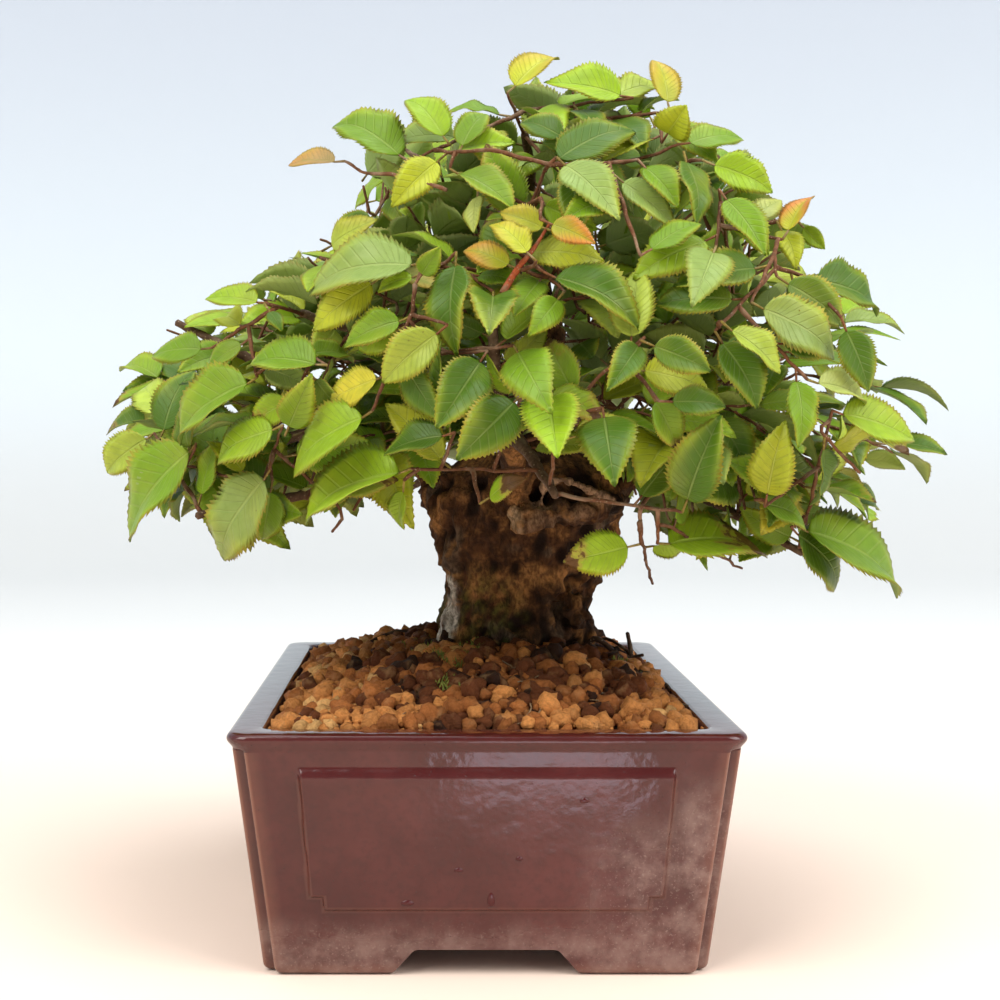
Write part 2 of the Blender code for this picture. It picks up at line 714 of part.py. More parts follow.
def build_soil(parts, helpers):
    rng = random.Random(SEED)
    half_x, half_y = inner_half(SOIL_EDGE, FIT_GAP)
    bottom = FLOOR_TOP + FIT_GAP
    floor_x, floor_y = inner_half(bottom, FIT_GAP)
    bm = bmesh.new()
    rows = []
    for row in range(GRAIN_ROWS + 1):
        rows.append([bm.verts.new(point) for point in soil_row(row, half_x, half_y, rng)])
    for lower, upper in zip(rows, rows[1:]):
        stitch_rows(bm, lower, upper)
    rim = rows[0] + [row[-1] for row in rows[1:-1]] + rows[-1][::-1] + [row[0] for row in rows[-2:0:-1]]
    scale_x, scale_y = floor_x / half_x, floor_y / half_y
    foot = [bm.verts.new((vert.co.x * scale_x, vert.co.y * scale_y, bottom)) for vert in rim]
    for i in range(len(rim)):
        after = (i + 1) % len(rim)
        bm.faces.new((foot[i], foot[after], rim[after], rim[i]))
    bm.faces.new(foot[::-1])
    soil = add_mesh("soil", mesh_of(bm, "soil"), parts)
    stations = [station for station in TRUNK_STATIONS if station[0] <= 95]
    rings = [trunk_ring(*station, grow=FIT_GAP * 1000) for station in stations]
    lowest = [point - mm(0, 0, 1) for point in rings[0]]
    loft("trunk_hole", [lowest] + rings, helpers)
    pocket = (MESH_SIZE + 2 * FIT_GAP, MESH_SIZE + 2 * FIT_GAP, 2 * (MESH_THICKNESS + REST_GAP + FIT_GAP))
    for name, y in (("pocket_front", -DRAIN_OFFSET), ("pocket_back", DRAIN_OFFSET)):
        box(name, (0.0, y, FLOOR_TOP), pocket, helpers)
    combine(soil, helpers, "DIFFERENCE")
    finish_piece(soil, new_material("akadama_soil", (0.27, 0.13, 0.055), 0.95))


# Trunk


def trunk_ring(height, left, right, half_depth, grow=0.0):
    """One ring of the trunk with its lengthwise ridges. The measures are in millimetres."""
    points = []
    for step in range(TRUNK_SIDES):
        turn = 2 * math.pi * step / TRUNK_SIDES
        ridge = 1.0 + 0.045 * math.sin(3 * turn + height / 11)
        ridge += 0.04 * math.sin(5 * turn - height / 17 + 1.0)
        ridge += 0.03 * math.sin(8 * turn + height / 23)
        x = (left + right) / 2 + ((right - left) / 2 * ridge + grow) * math.cos(turn)
        y = (half_depth * ridge + grow) * math.sin(turn)
        points.append(mm(x, y, height))
    return points


def scaffold_stem(points):
    return Stem("trunk", [mm(*point) for point in points], SCAFFOLD_RADII[: len(points)])


def stump(collar, points):
    """The trunk's stump that a leafy branch carries on from, cut square."""
    start = mm(*points[0])
    along = (mm(*points[1]) - start).normalized()
    end = start + along * collar * 0.001
    return Stem("trunk", [start, end], (BRANCH_RADII[0] * 1.3, BRANCH_RADII[0]))


def limb(node, collar, points):
    """The woody part of a leafy branch. It begins a small gap beyond its stump."""
    places = [mm(*point) for point in points]
    along = (places[1] - places[0]).normalized()
    places[0] += along * (collar * 0.001 + REST_GAP)
    return Stem(node, places, BRANCH_RADII)


def build_trunk(parts, helpers):
    trunk = loft("trunk", [trunk_ring(*station) for station in TRUNK_STATIONS], parts)
    for index, points in enumerate(SCAFFOLDS):
        stem = scaffold_stem(points)
        tube(f"scaffold_{index}", stem.points, stem.radii, helpers, 1)
    for name, (collar, points) in BRANCHES.items():
        stem = stump(collar, points)
        tube(f"stump_{name}", stem.points, stem.radii, helpers, 1)
    ball("burl", mm(*BURL[0]), mm(*BURL[1]), helpers)
    combine(trunk, helpers, "UNION")
    ball("hollow", mm(*HOLLOW[0]), mm(*HOLLOW[1]), helpers)
    combine(trunk, helpers, "DIFFERENCE")
    tube("stub_limb", [mm(*point) for point in STUB_LIMB], [r * 0.001 for r in STUB_RADII], helpers, 2)
    tube("pale_twig", [mm(*point) for point in PALE_TWIG], [r * 0.001 for r in PALE_TWIG_RADII], helpers)
    combine(trunk, helpers, "UNION")
    finish_piece(trunk, new_material("hornbeam_bark", (0.1, 0.06, 0.035), 0.9))


# Leaves


def half_width(leaf, along):
    """Half the smooth width of the blade, widest two fifths of the way to the tip."""
    widest = 0.393
    most = widest**0.55 * (1 - widest) ** 0.85
    return 0.5 * leaf.width * along**0.55 * (1 - along) ** 0.85 / most


def blade_place(leaf, along, across, lift):
    """A place on a leaf: along runs from 0 at the stalk to 1 at the tip, the others are in metres."""
    axis = leaf.tip - leaf.base
    side = leaf.normal.cross(axis).normalized()
    out = axis.cross(side).normalized()
    bow = max(along, 0.0)
    rise = 4 * leaf.arch * bow * (1 - bow) * axis.length + leaf.fold * abs(across) + lift
    return leaf.base + axis * along + side * across + out * rise


def leaf_solid(leaf, grow=0.0, edge_places=ROOM_EDGE):
    """Points and triangles of one toothed blade, thick at its rib, with a three-sided stalk that runs
    on through the leaf's knots to the wood it grows from."""
    half = STALK_HALF + grow
    rib = RIB_THICKNESS / 2 + grow
    left = [(along, half_width(leaf, along) * share + grow) for along, share in edge_places]
    edge = [(0.0, half)] + left + [(1.0, 0.0)] + [(a, -w) for a, w in reversed(left)] + [(0.0, -half)]
    points = [blade_place(leaf, along, across, 0.0) for along, across in edge]
    count = len(points)
    points += [
        blade_place(leaf, RIB_PLACE, 0.0, rib),
        blade_place(leaf, RIB_PLACE, 0.0, -rib),
        blade_place(leaf, 0.0, 0.0, -1.6 * half),
    ]
    top, under, heel = range(count, count + 3)
    first, last = 0, count - 1
    faces = [(top, i + 1, i) for i in range(count - 1)] + [(top, first, last)]
    faces += [(under, i, i + 1) for i in range(count - 1)] + [(under, last, heel), (under, heel, first)]
    ring = (first, heel, last)
    side = points[first] - points[last]
    knots = [leaf.base, stalk_root(leaf), *leaf.knots]
    for index, knot in enumerate(knots[1:], 1):
        along = (knots[index - 1] - knot).normalized()
        if index + 1 < len(knots):
            along = (along + (knot - knots[index + 1]).normalized()).normalized()
        side = (side - along * side.dot(along)).normalized()
        out = along.cross(side)
        start = len(points)
        back = knot + out * half * 0.5
        points += [back + side * half, knot - out * half, back - side * half]
        half += STALK_GROWTH
        faces += prism_sides(ring, (start, start + 1, start + 2))
        ring = (start, start + 1, start + 2)
    return points, faces + [ring]


def prism_sides(ring, next_ring):
    """Two triangles between each pair of corners of two three-sided rings."""
    faces = []
    for k in range(3):
        after = (k + 1) % 3
        faces.append((ring[k], ring[after], next_ring[after]))
        faces.append((ring[k], next_ring[after], next_ring[k]))
    return faces


def stalk_root(leaf):
    axis = leaf.tip - leaf.base
    return leaf.base - axis.normalized() * STALK_LENGTH


# The plan of the crown


class Space:
    """What is already taken up, so that the pieces of different branches keep clear of each other."""

    def __init__(self):
        self.pieces = []

    def add(self, piece, points, faces):
        tree = BVHTree.FromPolygons(points, faces)
        low = [min(point[axis] for point in points) for axis in range(3)]
        high = [max(point[axis] for point in points) for axis in range(3)]
        self.pieces.append((piece, tree, low, high))

    def is_free(self, points, faces, passes):
        """Whether this shape crosses nothing except pieces that it passes."""
        low = [min(point[axis] for point in points) for axis in range(3)]
        high = [max(point[axis] for point in points) for axis in range(3)]
        tree = None
        for piece, other, other_low, other_high in self.pieces:
            if any(low[a] > other_high[a] or other_low[a] > high[a] for a in range(3)):
                continue
            if passes(piece):
                continue
            tree = tree or BVHTree.FromPolygons(points, faces)
            if tree.overlap(other):
                return False
        return True


def stem_shell(stem, grow=0.0):
    """A plain square tube round a stem, for finding what it would cross."""
    points = []
    side = None
    for index, place in enumerate(stem.points):
        before = stem.points[max(index - 1, 0)]
        after = stem.points[min(index + 1, len(stem.points) - 1)]
        along = (after - before).normalized()
        side = along.orthogonal() if side is None else side - along * side.dot(along)
        side.normalize()
        other = along.cross(side)
        reach = stem.radii[index] + grow
        points += [place + way * reach for way in (side, other, -side, -other)]
    faces = []
    for ring in range(len(stem.points) - 1):
        for k in range(4):
            here, there = 4 * ring + k, 4 * ring + (k + 1) % 4
            faces.append((here, there, there + 4, here + 4))
    last = len(points) - 4
    return points, faces + [(3, 2, 1, 0), (last, last + 1, last + 2, last + 3)]


def dome_place(turn, lift, layer):
    """A place in the dome by its turn round the trunk, the sine of its lift and its layer, 1 outside."""
    level = math.sqrt(max(0.0, 1.0 - lift * lift))
    x = DOME_ACROSS * level * math.cos(turn) * layer
    y = DOME_DEEP * level * math.sin(turn) * layer - DOME_LEAN * x
    z = (DOME_UP if lift > 0 else DOME_DOWN) * lift * layer
    return DOME_MIDDLE + Vector((x, y, z))


def dome_outward(place):
    """The direction that faces out of the dome at a place."""
    offset = place - DOME_MIDDLE
    tall = DOME_UP if offset.z > 0 else DOME_DOWN
    y = offset.y + DOME_LEAN * offset.x
    return Vector((offset.x / DOME_ACROSS**2, y / DOME_DEEP**2, offset.z / tall**2)).normalized()


def sight_place(across, up, depth):
    """The place at this depth on the line of sight through a place on the plane of the trunk, which is
    given in millimetres."""
    share = (depth - VIEWPOINT.y) / -VIEWPOINT.y
    return VIEWPOINT + (mm(across, 0, up) - VIEWPOINT) * share


def dome_level(place):
    """0 in the middle of the dome, 1 on its surface and more outside it."""
    offset = place - DOME_MIDDLE
    tall = DOME_UP if offset.z > 0 else DOME_DOWN
    y = offset.y + DOME_LEAN * offset.x
    return math.sqrt((offset.x / DOME_ACROSS) ** 2 + (y / DOME_DEEP) ** 2 + (offset.z / tall) ** 2)


def front_place(across, up):
    """Where a line of sight meets the front of the dome."""
    depth = -0.5 * DOME_DEEP
    for _ in range(8):
        place = sight_place(across, up, depth)
        offset = place - DOME_MIDDLE
        tall = DOME_UP if offset.z > 0 else DOME_DOWN
        spread = (offset.x / DOME_ACROSS) ** 2 + (offset.z / tall) ** 2
        depth = -DOME_DEEP * math.sqrt(max(0.0, 1.0 - spread)) - DOME_LEAN * offset.x
    return sight_place(across, up, depth)


def nearest_limb(limbs, place):
    def distance(stem):
        return min((stem_foot(a, b, place) - place).length for a, b in zip(stem.points, stem.points[1:]))

    return min(limbs, key=distance).node


def stem_foot(start, end, place):
    """The nearest place to this one on a stretch of stem, a little clear of its ends."""
    _, share = intersect_point_line(place, start, end)
    return start.lerp(end, min(max(share, 0.06), 0.94))


def front_leaf(row, limbs, nearer):
    """One of the leaves seen from the front, moved nearer to the eye by some metres."""
    x0, z0, x1, z1, seen_width = row
    depth = front_place(x0, z0).y - nearer
    base = sight_place(x0, z0, depth)
    seen_length = (sight_place(x1, z1, depth) - base).length
    slope = (front_place(x1, z1).y - nearer - depth) / seen_length
    slope = min(max(slope, -FRONT_SLOPE), FRONT_SLOPE)
    tip = sight_place(x1, z1, depth + slope * seen_length)
    seen_length = (tip - base).length
    toward = (VIEWPOINT - base).normalized()
    wide = seen_width * 0.001 * (depth - VIEWPOINT.y) / -VIEWPOINT.y
    length = max(seen_length, wide / (LEAF_SHAPE + 0.04))
    tip = tip + toward * math.sqrt(length * length - seen_length * seen_length)
    axis = (tip - base).normalized()
    facing = (toward - axis * toward.dot(axis)).normalized()
    side = axis.cross(facing)
    side = side if side.z > 0 else -side
    turn = min(1.0, wide / (LEAF_SHAPE * length))
    normal = facing * turn + side * math.sqrt(1 - turn * turn)
    node = nearest_limb(limbs, base)
    return Leaf(node, base, tip, normal, LEAF_SHAPE * length, LEAF_ARCH, LEAF_FOLD)


def place_front_leaves(space, limbs):
    """The leaves seen from the front, each at the first depth where it crosses nothing."""
    leaves = []
    for row in FRONT_LEAVES:
        for nearer in FRONT_SHIFTS:
            leaf = front_leaf(row, limbs, nearer)
            if space.is_free(*leaf_solid(leaf, CLEARANCE), lambda piece: False):
                leaves.append(leaf)
                space.add(leaf, *leaf_solid(leaf))
                break
    return leaves


def twig_stem(node, foot, ends, sideways, bend):
    """A tapering twig, straight or bowed to the side on its way to the first end."""
    points = [foot] + list(ends)
    reach = ends[0] - foot
    if bend:
        points.insert(1, foot.lerp(ends[0], 0.5) + sideways * bend * reach.length)
    steps = len(points) - 1
    narrowing = (TWIG_TIP_RADIUS - TWIG_ROOT_RADIUS) / steps
    return Stem(node, points, [TWIG_ROOT_RADIUS + narrowing * index for index in range(steps + 1)])


def grow_stem(space, skeleton, node, ends, rng, carried=None):
    """A twig from the branch's nearest wood through the given ends, bent clear of other branches and,
    where it can be, of the branch's own leaves. It may touch the leaf that it carries."""
    target = ends[0]
    feet = [stem_foot(start, end, target) for start, end in skeleton]
    feet.sort(key=lambda foot: (foot - target).length)
    for own_leaves_pass in (False, True):
        for foot in feet[:TWIG_FEET]:
            reach = target - foot
            sideways = reach.orthogonal().normalized()
            sideways.rotate(Matrix.Rotation(rng.uniform(0, 2 * math.pi), 3, reach))
            for bend in TWIG_BENDS:
                stem = twig_stem(node, foot, ends, sideways, bend)

                def passes(piece):
                    is_own_wood = piece.node == node and isinstance(piece, Stem)
                    return is_own_wood or piece is carried or (own_leaves_pass and piece.node == node)

                if space.is_free(*stem_shell(stem, CLEARANCE), passes):
                    space.add(stem, *stem_shell(stem))
                    skeleton.extend(zip(stem.points, stem.points[1:]))
                    return stem
    return None


def spray_stem(end, outward, rng):
    """The two ends of a spray's stem, and the way its leaves face."""
    around = Vector((-outward.y, outward.x, 0.0))
    rise = Vector((0, 0, rng.uniform(-0.25, 0.2)))
    along = (outward + around * rng.uniform(-0.6, 0.6) + rise).normalized()
    facing = Vector((0, 0, 0.8)) + outward * 0.55
    facing = (facing - along * facing.dot(along)).normalized()
    return end - along * SPRAY_STEM * rng.uniform(0.85, 1.1), end, facing


def dome_sprays(rng):
    """Sprays spread evenly over the dome, apart from those that face the front squarely."""
    for index in range(SPRAY_COUNT):
        lift = SPRAY_LIFTS[0] + (SPRAY_LIFTS[1] - SPRAY_LIFTS[0]) * (index + 0.5) / SPRAY_COUNT
        turn = index * GOLDEN_TURN + rng.uniform(-0.12, 0.12)
        place = dome_place(turn, lift, 1.0)
        outward = dome_outward(place)
        frontness = outward.dot((VIEWPOINT - place).normalized())
        layers = INNER_LAYERS if frontness > INNER_FROM else SPRAY_LAYERS
        spray = spray_stem(dome_place(turn, lift, rng.uniform(*layers)), outward, rng)
        if frontness <= LEFT_OUT_FROM:
            yield spray


def gap_sprays(rng):
    """Sprays at the chosen places."""
    for place in GAP_SPRAYS:
        end = mm(*place)
        yield spray_stem(end, dome_outward(end), rng)


def stands_above(place):
    """Whether a place is seen above the crown's upper edge."""
    seen = VIEWPOINT + (place - VIEWPOINT) * (-VIEWPOINT.y / (place.y - VIEWPOINT.y))
    for (left, low), (right, high) in zip(HIGH_LINE, HIGH_LINE[1:]):
        share = (seen.x * 1000 - left) / (right - left)
        if 0 <= share <= 1:
            return seen.z * 1000 > low + (high - low) * share
    return False


def spray_leaf(node, root, direction, facing, length, rng):
    base = root + direction * STALK_LENGTH
    normal = (facing + direction.cross(facing) * rng.uniform(-0.3, 0.3)).normalized()
    width = length * LEAF_SHAPE * rng.uniform(0.92, 1.05)
    return Leaf(node, base, base + direction * length, normal, width, rng.uniform(0.03, 0.1), LEAF_FOLD)


def try_leaf(space, stem, root, direction, facing, length, rng):
    """A leaf of a spray, turned and shortened until it crosses nothing but its own stem."""
    for attempt in range(7):
        swing = Matrix.Rotation(rng.uniform(-0.12, 0.12) * attempt, 3, facing)
        tilt = Matrix.Rotation(rng.uniform(-0.14, 0.14) * attempt, 3, direction.cross(facing))
        turned = tilt @ swing @ direction
        leaf = spray_leaf(stem.node, root, turned, facing, length * (1 - 0.05 * attempt), rng)
        if dome_level(leaf.tip) > DOME_LIMIT:
            continue
        if space.is_free(*leaf_solid(leaf, CLEARANCE), lambda piece: piece is stem):
            space.add(leaf, *leaf_solid(leaf))
            return [leaf]
    return []


def spray_leaves(space, stem, facing, rng):
    """Leaves in two ranks along the last stretch of the stem, and one at its end."""
    start, end = stem.points[-2:]
    along = (end - start).normalized()
    across = facing.cross(along)
    leaves = []
    first_side = rng.choice((-1, 1))
    for order, share in enumerate(SPRAY_PLACES):
        side = first_side if order % 2 == 0 else -first_side
        direction = along * math.cos(SPRAY_ANGLE) + across * side * math.sin(SPRAY_ANGLE) - facing * 0.12
        length = SPRAY_LEAF * rng.uniform(0.88, 1.12)
        root = start.lerp(end, share)
        leaves += try_leaf(space, stem, root, direction.normalized(), facing, length, rng)
    length = SPRAY_LEAF * rng.uniform(0.8, 1.0)
    return leaves + try_leaf(space, stem, end - along * 0.0005, along, facing, length, rng)


def trunk_body():
    """The trunk's own surface, for finding what would cross it."""
    points = [point for station in TRUNK_STATIONS for point in trunk_ring(*station)]
    faces = []
    for start in range(0, len(points) - TRUNK_SIDES, TRUNK_SIDES):
        for k in range(TRUNK_SIDES):
            after = (k + 1) % TRUNK_SIDES
            here, there = start + k, start + after
            faces.append((here, there, there + TRUNK_SIDES, here + TRUNK_SIDES))
    return points, faces


def grow_front_leaves(space, limbs, skeletons, rng):
    """The leaves seen from the front, each joined to its branch, and the twigs of those that turn
    too sharply to run on as a stalk."""
    stems, leaves = [], []
    for leaf in place_front_leaves(space, limbs):
        root = stalk_root(leaf)
        stem = grow_stem(space, skeletons[leaf.node], leaf.node, [root], rng, leaf)
        if not stem:
            continue
        turn = (root - leaf.base).normalized().dot((stem.points[-2] - root).normalized())
        if turn > SHARPEST_TURN:
            leaves.append(leaf._replace(knots=tuple(stem.points[-2::-1])))
        else:
            stems.append(stem)
            leaves.append(leaf)
    return stems, leaves


def grow_bare_twigs(space, limbs, skeletons, rng):
    stems = []
    for x0, z0, x1, z1 in BARE_TWIGS:
        ends = [front_place(x0, z0), front_place(x1, z1)]
        node = nearest_limb(limbs, ends[0])
        stem = grow_stem(space, skeletons[node], node, ends, rng)
        stems += [stem] if stem else []
    return stems


def grow_sprays(space, limbs, skeletons, plans, rng):
    """The stems of these sprays, and then their leaves."""
    sprays = []
    for start, end, facing in plans:
        node = nearest_limb(limbs, start)
        stem = grow_stem(space, skeletons[node], node, [start, end], rng)
        if stem:
            sprays.append((stem, facing))
    leaves = []
    for stem, facing in sprays:
        leaves += spray_leaves(space, stem, facing, rng)
    return [stem for stem, _ in sprays], leaves


def plan_crown():
    """Every limb, twig and leaf of the leafy branches, found before any of them is made."""
    rng = random.Random(SEED)
    space = Space()
    trunk = [scaffold_stem(points) for points in SCAFFOLDS]
    trunk += [stump(collar, points) for collar, points in BRANCHES.values()]
    limbs = [limb(node, collar, points) for node, (collar, points) in BRANCHES.items()]
    space.add(trunk[0], *trunk_body())
    for stem in trunk + limbs:
        space.add(stem, *stem_shell(stem))
    skeletons = {stem.node: list(zip(stem.points, stem.points[1:])) for stem in limbs}
    front_stems, front_leaves = grow_front_leaves(space, limbs, skeletons, rng)
    bare_stems = grow_bare_twigs(space, limbs, skeletons, rng)
    dome_stems, dome_leaves = grow_sprays(space, limbs, skeletons, dome_sprays(rng), rng)
    gap_stems, gap_leaves = grow_sprays(space, limbs, skeletons, gap_sprays(rng), rng)
    stems = front_stems + bare_stems + dome_stems + gap_stems
    kept_leaves = [leaf for leaf in dome_leaves + gap_leaves if not stands_above(leaf.tip)]
    return limbs, stems, front_leaves + kept_leaves


def build_branches(parts, helpers):
    limbs, stems, leaves = plan_crown()
    leaf_green = new_material("leaf_green", (0.1, 0.2, 0.03), 0.5)
    for main in limbs:
        branch = tube(main.node, main.points, main.radii, parts, 1)
        for index, stem in enumerate(stems):
            if stem.node == main.node:
                tube(f"twig_{index}", stem.points, stem.radii, helpers)
        for index, leaf in enumerate(leaves):
            if leaf.node == main.node:
                mesh = bpy.data.meshes.new(f"leaf_{index}")
                points, faces = leaf_solid(leaf, 0.0, TOOTHED_EDGE)
                mesh.from_pydata(points, [], faces)
                add_mesh(f"leaf_{index}", mesh, helpers)
        combine(branch, helpers, "UNION", "MANIFOLD")
        weld_slivers(branch)
        drop_scraps(branch)
        finish_piece(branch, leaf_green)


def centre_over_origin(parts):
    """Moves everything a little, so that the middle of the whole object stands over the origin."""
    xs = [vert.co.x for thing in parts.objects for vert in thing.data.vertices]
    ys = [vert.co.y for thing in parts.objects for vert in thing.data.vertices]
    shift = Vector((-(min(xs) + max(xs)) / 2, -(min(ys) + max(ys)) / 2, 0.0))
    for thing in parts.objects:
        thing.location += shift


def main():
    clear_scene()
    parts = new_collection(OBJECT_NAME)
    helpers = new_collection(OBJECT_NAME + "_helpers", helper=True)
    build_pot(parts, helpers)
    build_drain_mesh("drain_mesh_front", -DRAIN_OFFSET, parts)
    build_drain_mesh("drain_mesh_back", DRAIN_OFFSET, parts)
    build_soil(parts, helpers)
    build_trunk(parts, helpers)
    build_branches(parts, helpers)
    centre_over_origin(parts)


main()
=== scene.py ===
"""Looks of a korean hornbeam bonsai: glaze, soil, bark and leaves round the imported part, and the stage.

Places from the part are in metres, centred under the pot, and SHIFT carries them to where the part lies.
"""

import math
import random
from collections import namedtuple

import bmesh
import bpy
import numpy as np
from bpy.props import FloatProperty, FloatVectorProperty, IntProperty, PointerProperty
from mathutils import Matrix, Vector, noise
from mathutils.bvhtree import BVHTree
from mathutils.geometry import intersect_point_line


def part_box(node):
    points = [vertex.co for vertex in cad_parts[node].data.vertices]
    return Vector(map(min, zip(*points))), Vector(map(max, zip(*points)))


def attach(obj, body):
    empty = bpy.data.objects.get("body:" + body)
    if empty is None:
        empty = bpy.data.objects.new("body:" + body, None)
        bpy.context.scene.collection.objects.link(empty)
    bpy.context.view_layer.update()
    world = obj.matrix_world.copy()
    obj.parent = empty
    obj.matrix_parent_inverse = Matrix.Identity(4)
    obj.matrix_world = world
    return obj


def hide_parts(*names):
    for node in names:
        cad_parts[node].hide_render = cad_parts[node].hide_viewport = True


bl_info = {
    "name": "Hornbeam Bonsai",
    "version": (1, 0, 0),
    "blender": (4, 5, 0),
    "location": "View3D > Sidebar > Bonsai",
    "description": "Makes the glazed pot, grainy soil, bark and leaves of a hornbeam bonsai",
    "category": "Object",
}

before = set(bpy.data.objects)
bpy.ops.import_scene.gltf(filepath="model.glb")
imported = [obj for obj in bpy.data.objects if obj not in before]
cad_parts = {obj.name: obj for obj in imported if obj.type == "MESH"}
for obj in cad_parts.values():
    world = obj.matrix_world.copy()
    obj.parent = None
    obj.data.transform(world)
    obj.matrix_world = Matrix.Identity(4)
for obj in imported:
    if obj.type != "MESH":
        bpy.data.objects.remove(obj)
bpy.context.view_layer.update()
POT_LOW, POT_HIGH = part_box("pot")
SHIFT = Vector(((POT_LOW.x + POT_HIGH.x) / 2, (POT_LOW.y + POT_HIGH.y) / 2, 0.0))

# The pot, in metres
POT_WIDTH = 0.140
POT_DEPTH = 0.192
POT_HEIGHT = 0.0677
POT_TAPER = 0.0091
RIM_WIDTH = 0.0095
LIP_HEIGHT = 0.005
LIP_SLOPE = 0.0033
LIP_PROUD = 0.001
LIP_CORNER = 0.006
LIP_ROUND = 0.0017
INNER_CORNER = 0.004
INNER_ROUND = 0.0013
CORNER_NOTCH = 0.0034
NOTCH_ROUND = 0.0012
FOOT_HEIGHT = 0.0074
FOOT_ROUND = 0.0022
FOOT_SLOPE = 0.0065
FOOT_WALL = 0.015
UNDERSIDE = 0.0072
OPENING_FRONT = 0.026
OPENING_SIDE = 0.046
FLOOR_TOP = 0.0137
WALL_AT_FLOOR = 0.0075
PANEL_FOOT = 0.0185
PANEL_TOP = 0.0585
PANEL_HALF_FRONT = 0.0508
PANEL_HALF_SIDE = 0.0768
PANEL_LEAN = 0.003
PANEL_STEP = 0.0036
PANEL_PROUD_TOP = 0.0015
PANEL_PROUD_FOOT = 0.0012
DRAIN_RADIUS = 0.007
DRAIN_OFFSET = 0.042
FIT_GAP = 0.0004
REST_GAP = 0.0003

# The soil, in metres
SOIL_EDGE = 0.0652

# The crown of leaves fills an egg-shaped dome, whose left side stands further back, in metres. The
# viewpoint is where the object is seen from in the reference view
DOME_MIDDLE = Vector((0.005, 0.0, 0.152))
DOME_ACROSS = 0.131
DOME_DEEP = 0.108
DOME_UP = 0.114
DOME_DOWN = 0.056
DOME_LEAN = 0.25
VIEWPOINT = Vector((-0.015, -0.512, 0.1467))

# Leaves and twigs, in metres
RIB_THICKNESS = 0.0012
STALK_LENGTH = 0.0035
STALK_HALF = 0.00045
STALK_GROWTH = 0.00015
LEAF_SHAPE = 0.6
LEAF_ARCH = 0.07
LEAF_FOLD = 0.12
RIB_PLACE = 0.42
CLEARANCE = 0.0004
TWIG_ROOT_RADIUS = 0.00095
TWIG_TIP_RADIUS = 0.00065
TWIG_BENDS = (0.0, 0.12, -0.12, 0.25, -0.25)
TWIG_FEET = 5
SEED = 27

# The sharpest turn a leaf's stalk makes where it meets its twig, as a cosine. Past it, the leaf sits
# on a round twig of its own
SHARPEST_TURN = -0.35

# How much a leaf that is seen from the front may slope along the line of sight, and how far it is
# moved towards the eye until it crosses nothing, in metres
FRONT_SLOPE = 0.6
FRONT_SHIFTS = (0, 0.004, -0.004, 0.008, -0.008, 0.013, -0.013, 0.018, -0.02)

# Sprays that fill the rest of the dome. Those that face the front lie further in, and those that
# face it squarely are left out
SPRAY_COUNT = 36
SPRAY_LIFTS = (-0.64, 0.97)
SPRAY_LAYERS = (0.8, 0.9)
INNER_LAYERS = (0.66, 0.76)
INNER_FROM = 0.45
LEFT_OUT_FROM = 0.8
DOME_LIMIT = 1.04
SPRAY_STEM = 0.026
SPRAY_ANGLE = math.radians(52)
SPRAY_PLACES = (0.3, 0.56, 0.82)
SPRAY_LEAF = 0.024
GOLDEN_TURN = math.radians(137.508)

# Sprays that close the gaps between the others: where each stem ends, in millimetres
GAP_SPRAYS = (
    (26, -12, 234), (22, 38, 232), (-40, 58, 218), (-4, 80, 200), (-26, -36, 200), (68, -48, 190),
    (-66, -11, 190), (-88, 22, 188), (74, 38, 188),
)

# The crown's upper edge as it is seen from the front, across and up in millimetres on the plane of the
# trunk. Leaves of the sprays that would be seen above it are left out
HIGH_LINE = (
    (-150, 160), (-118, 173), (-106, 177), (-88, 194), (-67, 203), (-49, 211), (-38, 226), (-32, 242),
    (-20, 257), (10, 266), (60, 268), (72, 252), (86, 244), (97, 228), (110, 224), (114, 210),
    (132, 194), (141, 180), (150, 175),
)

# The trunk's outline from the front: height, left edge, right edge, half depth, in millimetres
TRUNK_STATIONS = (
    (44, -5, 29, 15), (70, -10, 33, 18), (82, -14, 36, 21), (88, -13, 35, 20), (95, -11, 34, 19),
    (102, -10, 39, 20), (108, -12, 43, 22), (118, -13, 46, 24), (126, -16, 49, 24), (134, -12, 45, 21),
    (141, -2, 35, 14),
)
TRUNK_SIDES = 22

# The trunk's thick limbs: points in millimetres, and the radius at each
SCAFFOLDS = (
    ((16, 2, 122), (20, 4, 150), (24, 2, 180), (18, 0, 206)),
    ((0, 6, 122), (-18, 10, 138), (-40, 14, 150)),
    ((36, 2, 124), (54, 4, 140), (72, 0, 152)),
    ((18, 14, 122), (20, 38, 138), (16, 60, 150)),
    ((14, -10, 122), (12, -32, 136), (8, -52, 147)),
)
SCAFFOLD_RADII = (0.0085, 0.0052, 0.0042, 0.0034)

